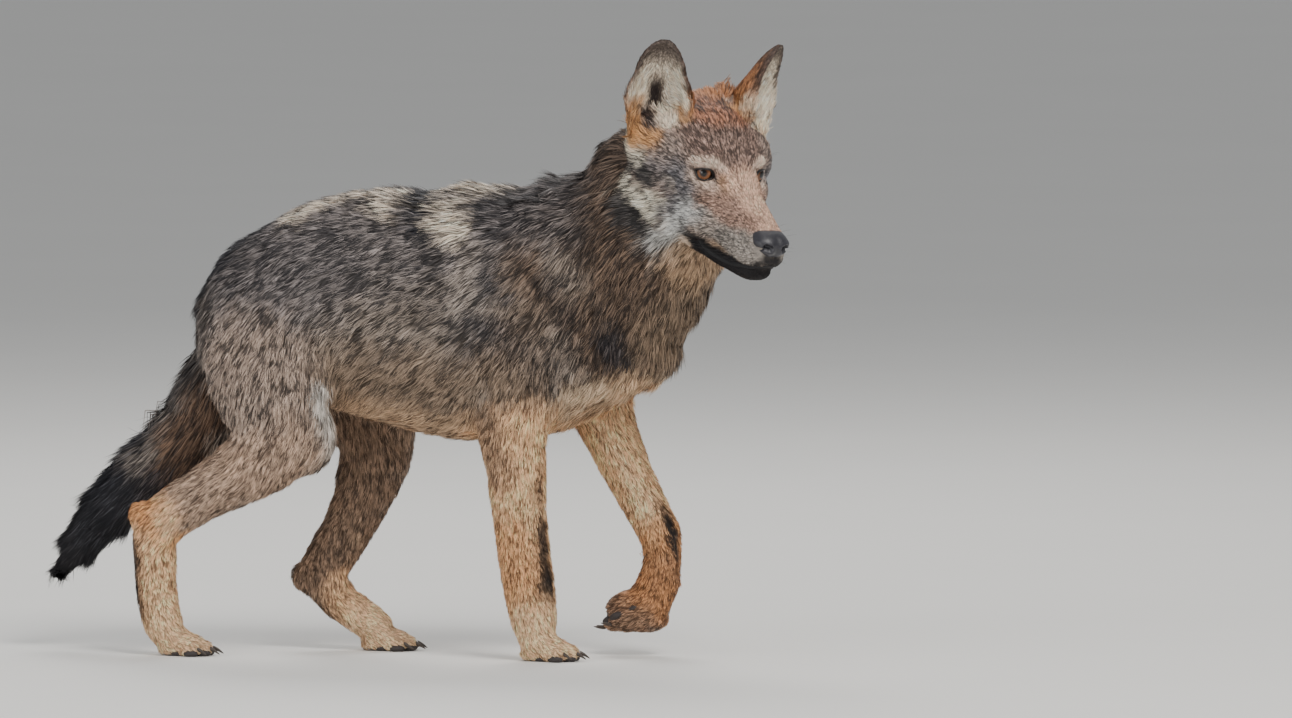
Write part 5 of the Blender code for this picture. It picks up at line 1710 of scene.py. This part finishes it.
def bristles(name, places, ways, lengths, thickness, droop, made):
    """A piece of bristles grown on points by the tree above."""
    mesh = bpy.data.meshes.new(name)
    mesh.from_pydata([tuple(p) for p in places], [], [])
    point_attribute(mesh, "way", "FLOAT_VECTOR", ways)
    point_attribute(mesh, "length", "FLOAT", lengths)
    obj = link(name, mesh)
    group = bristle_tree()
    grow = obj.modifiers.new("grow", "NODES")
    grow.node_group = group
    sockets = {i.name: i.identifier for i in group.interface.items_tree if i.in_out == "INPUT"}
    grow[sockets["Thickness"]] = thickness
    grow[sockets["Droop"]] = droop
    grow[sockets["Material"]] = made
    settle(obj)
    obj.data.shade_smooth()
    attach(obj, "root")


def make_whiskers():
    props = bpy.context.scene.wolf_face
    tree = skin_tree()
    places, ways, lengths = [], [], []
    turn = HEAD.to_3x3()
    for side in (-1, 1):
        for row in range(WHISKER_ROWS):
            for k in range(WHISKERS_IN_A_ROW):
                at = Vector((0.094 - 0.011 * k - 0.002 * row, side * 0.05, -0.058 - 0.0062 * row))
                hit = tree.ray_cast(HEAD @ at, turn @ Vector((0, -side, 0)), 0.06)
                if hit[0] is not None:
                    places.append(hit[0][:])
                    way = Vector((-0.25 - 0.12 * k, side * 0.85, 0.10 - 0.16 * row))
                    ways.append((turn @ way).normalized()[:])
                    lengths.append((0.024 + 0.007 * k) * props.whisker_length)
        centre, out, inward, up = lid_axes(side)
        for k in range(3):
            at = centre + inward * (0.004 * k - 0.002) + up * 0.019
            hit = tree.ray_cast(HEAD @ (at + out * 0.03), turn @ -out, 0.06)
            if hit[0] is not None:
                places.append(hit[0][:])
                ways.append((turn @ (out * 0.7 + up * 0.6 - inward * 0.3)).normalized()[:])
                lengths.append(0.022 * props.whisker_length)
    made, nodes = node_tree("whisker_black")
    toned(nodes, shader_of(nodes, 0.45), linear((34, 30, 29)), 900.0, 0.5)
    thickness = props.whisker_thickness / MIDDLE_WHISKER
    bristles("whiskers", places, ways, lengths, thickness, 0.22, made)


# ---- floor, light and camera --------------------------------------------------------------------
def stage_material():
    made, tree = node_tree("studio_floor")
    toned(tree, shader_of(tree, 0.9), linear((234, 233, 230)), 2.5, 0.04)
    return made


def make_stage():
    props = bpy.context.scene.wolf_stage
    half = props.floor_size / 2
    corners = np.array([(-1, -1, 0), (1, -1, 0), (1, 1, 0), (-1, 1, 0)]) * half
    floor = link("floor", mesh_from("floor", corners, np.array([[0, 1, 2, 3]])))
    finish(floor.data, stage_material())
    world = bpy.data.worlds.new("studio")
    world.use_nodes = True
    sky = world.node_tree.nodes["Background"]
    sky.inputs["Color"].default_value = (*linear((226, 228, 230)), 1)
    sky.inputs["Strength"].default_value = props.sky_strength
    bpy.context.scene.world = world
    azimuth, elevation = math.radians(props.azimuth), math.radians(props.elevation)
    right = Vector((math.cos(azimuth), math.sin(azimuth), 0))
    level = math.cos(elevation)
    back = Vector((math.sin(azimuth) * level, -math.cos(azimuth) * level, math.sin(elevation)))
    up = back.cross(right)
    lamps = (
        ("key", (2.4, -2.6, 4.2), 2.0, props.key_power, (1.0, 0.97, 0.93)),
        ("fill", (-3.0, -2.8, 1.8), 2.4, props.key_power * 0.20, (0.95, 0.97, 1.0)),
        ("low", (-1.4, -3.6, 0.5), 1.4, props.key_power * 0.15, (1.0, 0.97, 0.93)),
        ("rim", (-0.6, 2.8, 3.4), 2.0, props.key_power * 0.42, (1.0, 0.98, 0.95)),
    )
    for name, place, size, power, colour in lamps:
        lamp = bpy.data.lights.new(name, "AREA")
        lamp.size = size
        lamp.energy = power
        lamp.color = colour
        obj = link(name, lamp)
        obj.location = place
        toward = Vector((0, 0, 0.35)) - Vector(place)
        obj.rotation_euler = toward.to_track_quat("-Z", "Y").to_euler()
    camera = bpy.data.cameras.new("camera")
    camera.lens = CAMERA_LENS
    camera.sensor_width = 36
    camera.clip_end = 200
    holder = link("camera", camera)
    turn = Matrix((right, up, back)).transposed().to_4x4()
    aim = SHIFT + right * AIM_RIGHT + up * AIM_UP
    holder.matrix_world = Matrix.Translation(aim + back * CAMERA_DISTANCE) @ turn
    bpy.context.scene.camera = holder


# ---- the add-on ---------------------------------------------------------------------------------
class WolfCoatSettings(bpy.types.PropertyGroup):
    """Sizes of the skin and the coat."""

    skin_grain: bpy.props.FloatProperty(
        name="Skin grain", default=0.0024, min=0.001, unit="LENGTH",
        description="Cell size in which the solids are fused into one skin",
    )
    skin_depth: bpy.props.FloatProperty(
        name="Skin depth", default=0.9, min=0.0, max=1.5, subtype="FACTOR",
        description="Share of the coat's depth by which the skin lies under the outline",
    )
    fullness: bpy.props.FloatProperty(
        name="Fullness", default=1.0, min=0.05, max=1.2, subtype="FACTOR",
        description="Number of locks, as a share of the full coat's",
    )


class WolfFaceSettings(bpy.types.PropertyGroup):
    """Sizes of the whiskers."""

    whisker_length: bpy.props.FloatProperty(
        name="Whisker length", default=1.0, min=0.1, max=2.0, subtype="FACTOR",
        description="Length of the whiskers, as a share of a young wolf's",
    )
    whisker_thickness: bpy.props.FloatProperty(
        name="Whisker thickness", default=0.00022, unit="LENGTH",
        description="Half the thickness of a whisker at its root",
    )


class WolfStageSettings(bpy.types.PropertyGroup):
    """Floor, light and the angle of view."""

    floor_size: bpy.props.FloatProperty(
        name="Floor size", description="Length of the floor's sides", default=60.0, unit="LENGTH"
    )
    sky_strength: bpy.props.FloatProperty(
        name="Sky strength", description="Brightness of the surrounding light", default=0.5
    )
    key_power: bpy.props.FloatProperty(
        name="Key power", description="Power of the largest lamp in watts", default=190.0
    )
    azimuth: bpy.props.FloatProperty(
        name="Azimuth", description="Angle of view about the upright axis, in degrees", default=12.0
    )
    elevation: bpy.props.FloatProperty(
        name="Elevation", description="Angle of view above the horizon, in degrees", default=4.0
    )


class WOLF_OT_skin(bpy.types.Operator):
    """One skin over head, neck, body, legs, ears and tail, with the lids round the eyes."""

    bl_idname = "wolf.skin"
    bl_label = "Skin"

    def execute(self, context):
        make_skin()
        return {"FINISHED"}


class WOLF_OT_eyes(bpy.types.Operator):
    """The two eyeballs, with pupil and iris turned the way the wolf looks."""

    bl_idname = "wolf.eyes"
    bl_label = "Eyes"

    def execute(self, context):
        make_eyes()
        return {"FINISHED"}


class WOLF_OT_nose(bpy.types.Operator):
    """The nose pad, with its nostrils, slits and groove."""

    bl_idname = "wolf.nose"
    bl_label = "Nose"

    def execute(self, context):
        make_nose()
        return {"FINISHED"}


class WOLF_OT_lips(bpy.types.Operator):
    """The dark lips along the closed mouth."""

    bl_idname = "wolf.lips"
    bl_label = "Lips"

    def execute(self, context):
        make_lips()
        return {"FINISHED"}


class WOLF_OT_claws(bpy.types.Operator):
    """The sixteen horn claws."""

    bl_idname = "wolf.claws"
    bl_label = "Claws"

    def execute(self, context):
        make_claws()
        return {"FINISHED"}


class WOLF_OT_pads(bpy.types.Operator):
    """The toe pads and heel pads under the four paws."""

    bl_idname = "wolf.pads"
    bl_label = "Pads"

    def execute(self, context):
        make_pads()
        return {"FINISHED"}


class WOLF_OT_coat_body(bpy.types.Operator):
    """Locks of hair over back, flanks, shoulders and belly."""

    bl_idname = "wolf.coat_body"
    bl_label = "Body coat"

    def execute(self, context):
        make_coat("trunk", 101)
        return {"FINISHED"}


class WOLF_OT_coat_neck(bpy.types.Operator):
    """The longer hair of the neck, the ruff and the chest."""

    bl_idname = "wolf.coat_neck"
    bl_label = "Neck coat"

    def execute(self, context):
        make_coat("neck", 102)
        return {"FINISHED"}


class WOLF_OT_coat_head(bpy.types.Operator):
    """The short hair of face, crown and cheeks."""

    bl_idname = "wolf.coat_head"
    bl_label = "Head coat"

    def execute(self, context):
        make_coat("head", 103, 0.6)
        return {"FINISHED"}


class WOLF_OT_coat_ears(bpy.types.Operator):
    """The short hair on the ears and the fringes inside them."""

    bl_idname = "wolf.coat_ears"
    bl_label = "Ear coat"

    def execute(self, context):
        make_coat("ears", 104, 0.6)
        return {"FINISHED"}


class WOLF_OT_coat_forelegs(bpy.types.Operator):
    """The short hair of the forelegs and forepaws."""

    bl_idname = "wolf.coat_forelegs"
    bl_label = "Foreleg coat"

    def execute(self, context):
        make_coat("forelegs", 105, 0.7)
        return {"FINISHED"}


class WOLF_OT_coat_hindlegs(bpy.types.Operator):
    """The hair of the thighs, hocks and hind paws."""

    bl_idname = "wolf.coat_hindlegs"
    bl_label = "Hindleg coat"

    def execute(self, context):
        make_coat("hindlegs", 106, 0.7)
        return {"FINISHED"}


class WOLF_OT_coat_tail(bpy.types.Operator):
    """The long hair of the hanging tail."""

    bl_idname = "wolf.coat_tail"
    bl_label = "Tail coat"

    def execute(self, context):
        make_coat("tail", 107, 0.55, 1.3)
        return {"FINISHED"}


class WOLF_OT_whiskers(bpy.types.Operator):
    """The bristles on the muzzle and over the eyes."""

    bl_idname = "wolf.whiskers"
    bl_label = "Whiskers"

    def execute(self, context):
        make_whiskers()
        return {"FINISHED"}


class WOLF_OT_stage(bpy.types.Operator):
    """The pale floor, the soft studio light and the camera."""

    bl_idname = "wolf.stage"
    bl_label = "Stage"

    def execute(self, context):
        make_stage()
        return {"FINISHED"}


OPERATORS = (
    WOLF_OT_skin,
    WOLF_OT_eyes,
    WOLF_OT_nose,
    WOLF_OT_lips,
    WOLF_OT_claws,
    WOLF_OT_pads,
    WOLF_OT_coat_body,
    WOLF_OT_coat_neck,
    WOLF_OT_coat_head,
    WOLF_OT_coat_ears,
    WOLF_OT_coat_forelegs,
    WOLF_OT_coat_hindlegs,
    WOLF_OT_coat_tail,
    WOLF_OT_whiskers,
    WOLF_OT_stage,
)


class WOLF_PT_dressing(bpy.types.Panel):
    """Lists the steps that dress the wolf."""

    bl_idname = "WOLF_PT_dressing"
    bl_label = "Wolf"
    bl_space_type = "VIEW_3D"
    bl_region_type = "UI"
    bl_category = "Wolf"

    def draw(self, context):
        for group in SETTINGS:
            settings = getattr(context.scene, group)
            for name in settings.__annotations__:
                self.layout.prop(settings, name)
        for step in OPERATORS:
            self.layout.operator(step.bl_idname)


SETTINGS = {
    "wolf_coat": WolfCoatSettings,
    "wolf_face": WolfFaceSettings,
    "wolf_stage": WolfStageSettings,
}
CLASSES = (*SETTINGS.values(), *OPERATORS, WOLF_PT_dressing)


def register():
    for made in CLASSES:
        bpy.utils.register_class(made)
    for name, made in SETTINGS.items():
        setattr(bpy.types.Scene, name, bpy.props.PointerProperty(type=made))


def unregister():
    for name in SETTINGS:
        delattr(bpy.types.Scene, name)
    for made in reversed(CLASSES):
        bpy.utils.unregister_class(made)


def main():
    """Dresses the frame step by step."""
    register()
    MADE["hair"] = hair_material()
    for step in OPERATORS:
        getattr(bpy.ops.wolf, step.bl_idname.split(".")[1])()


if __name__ == "__main__":
    main()
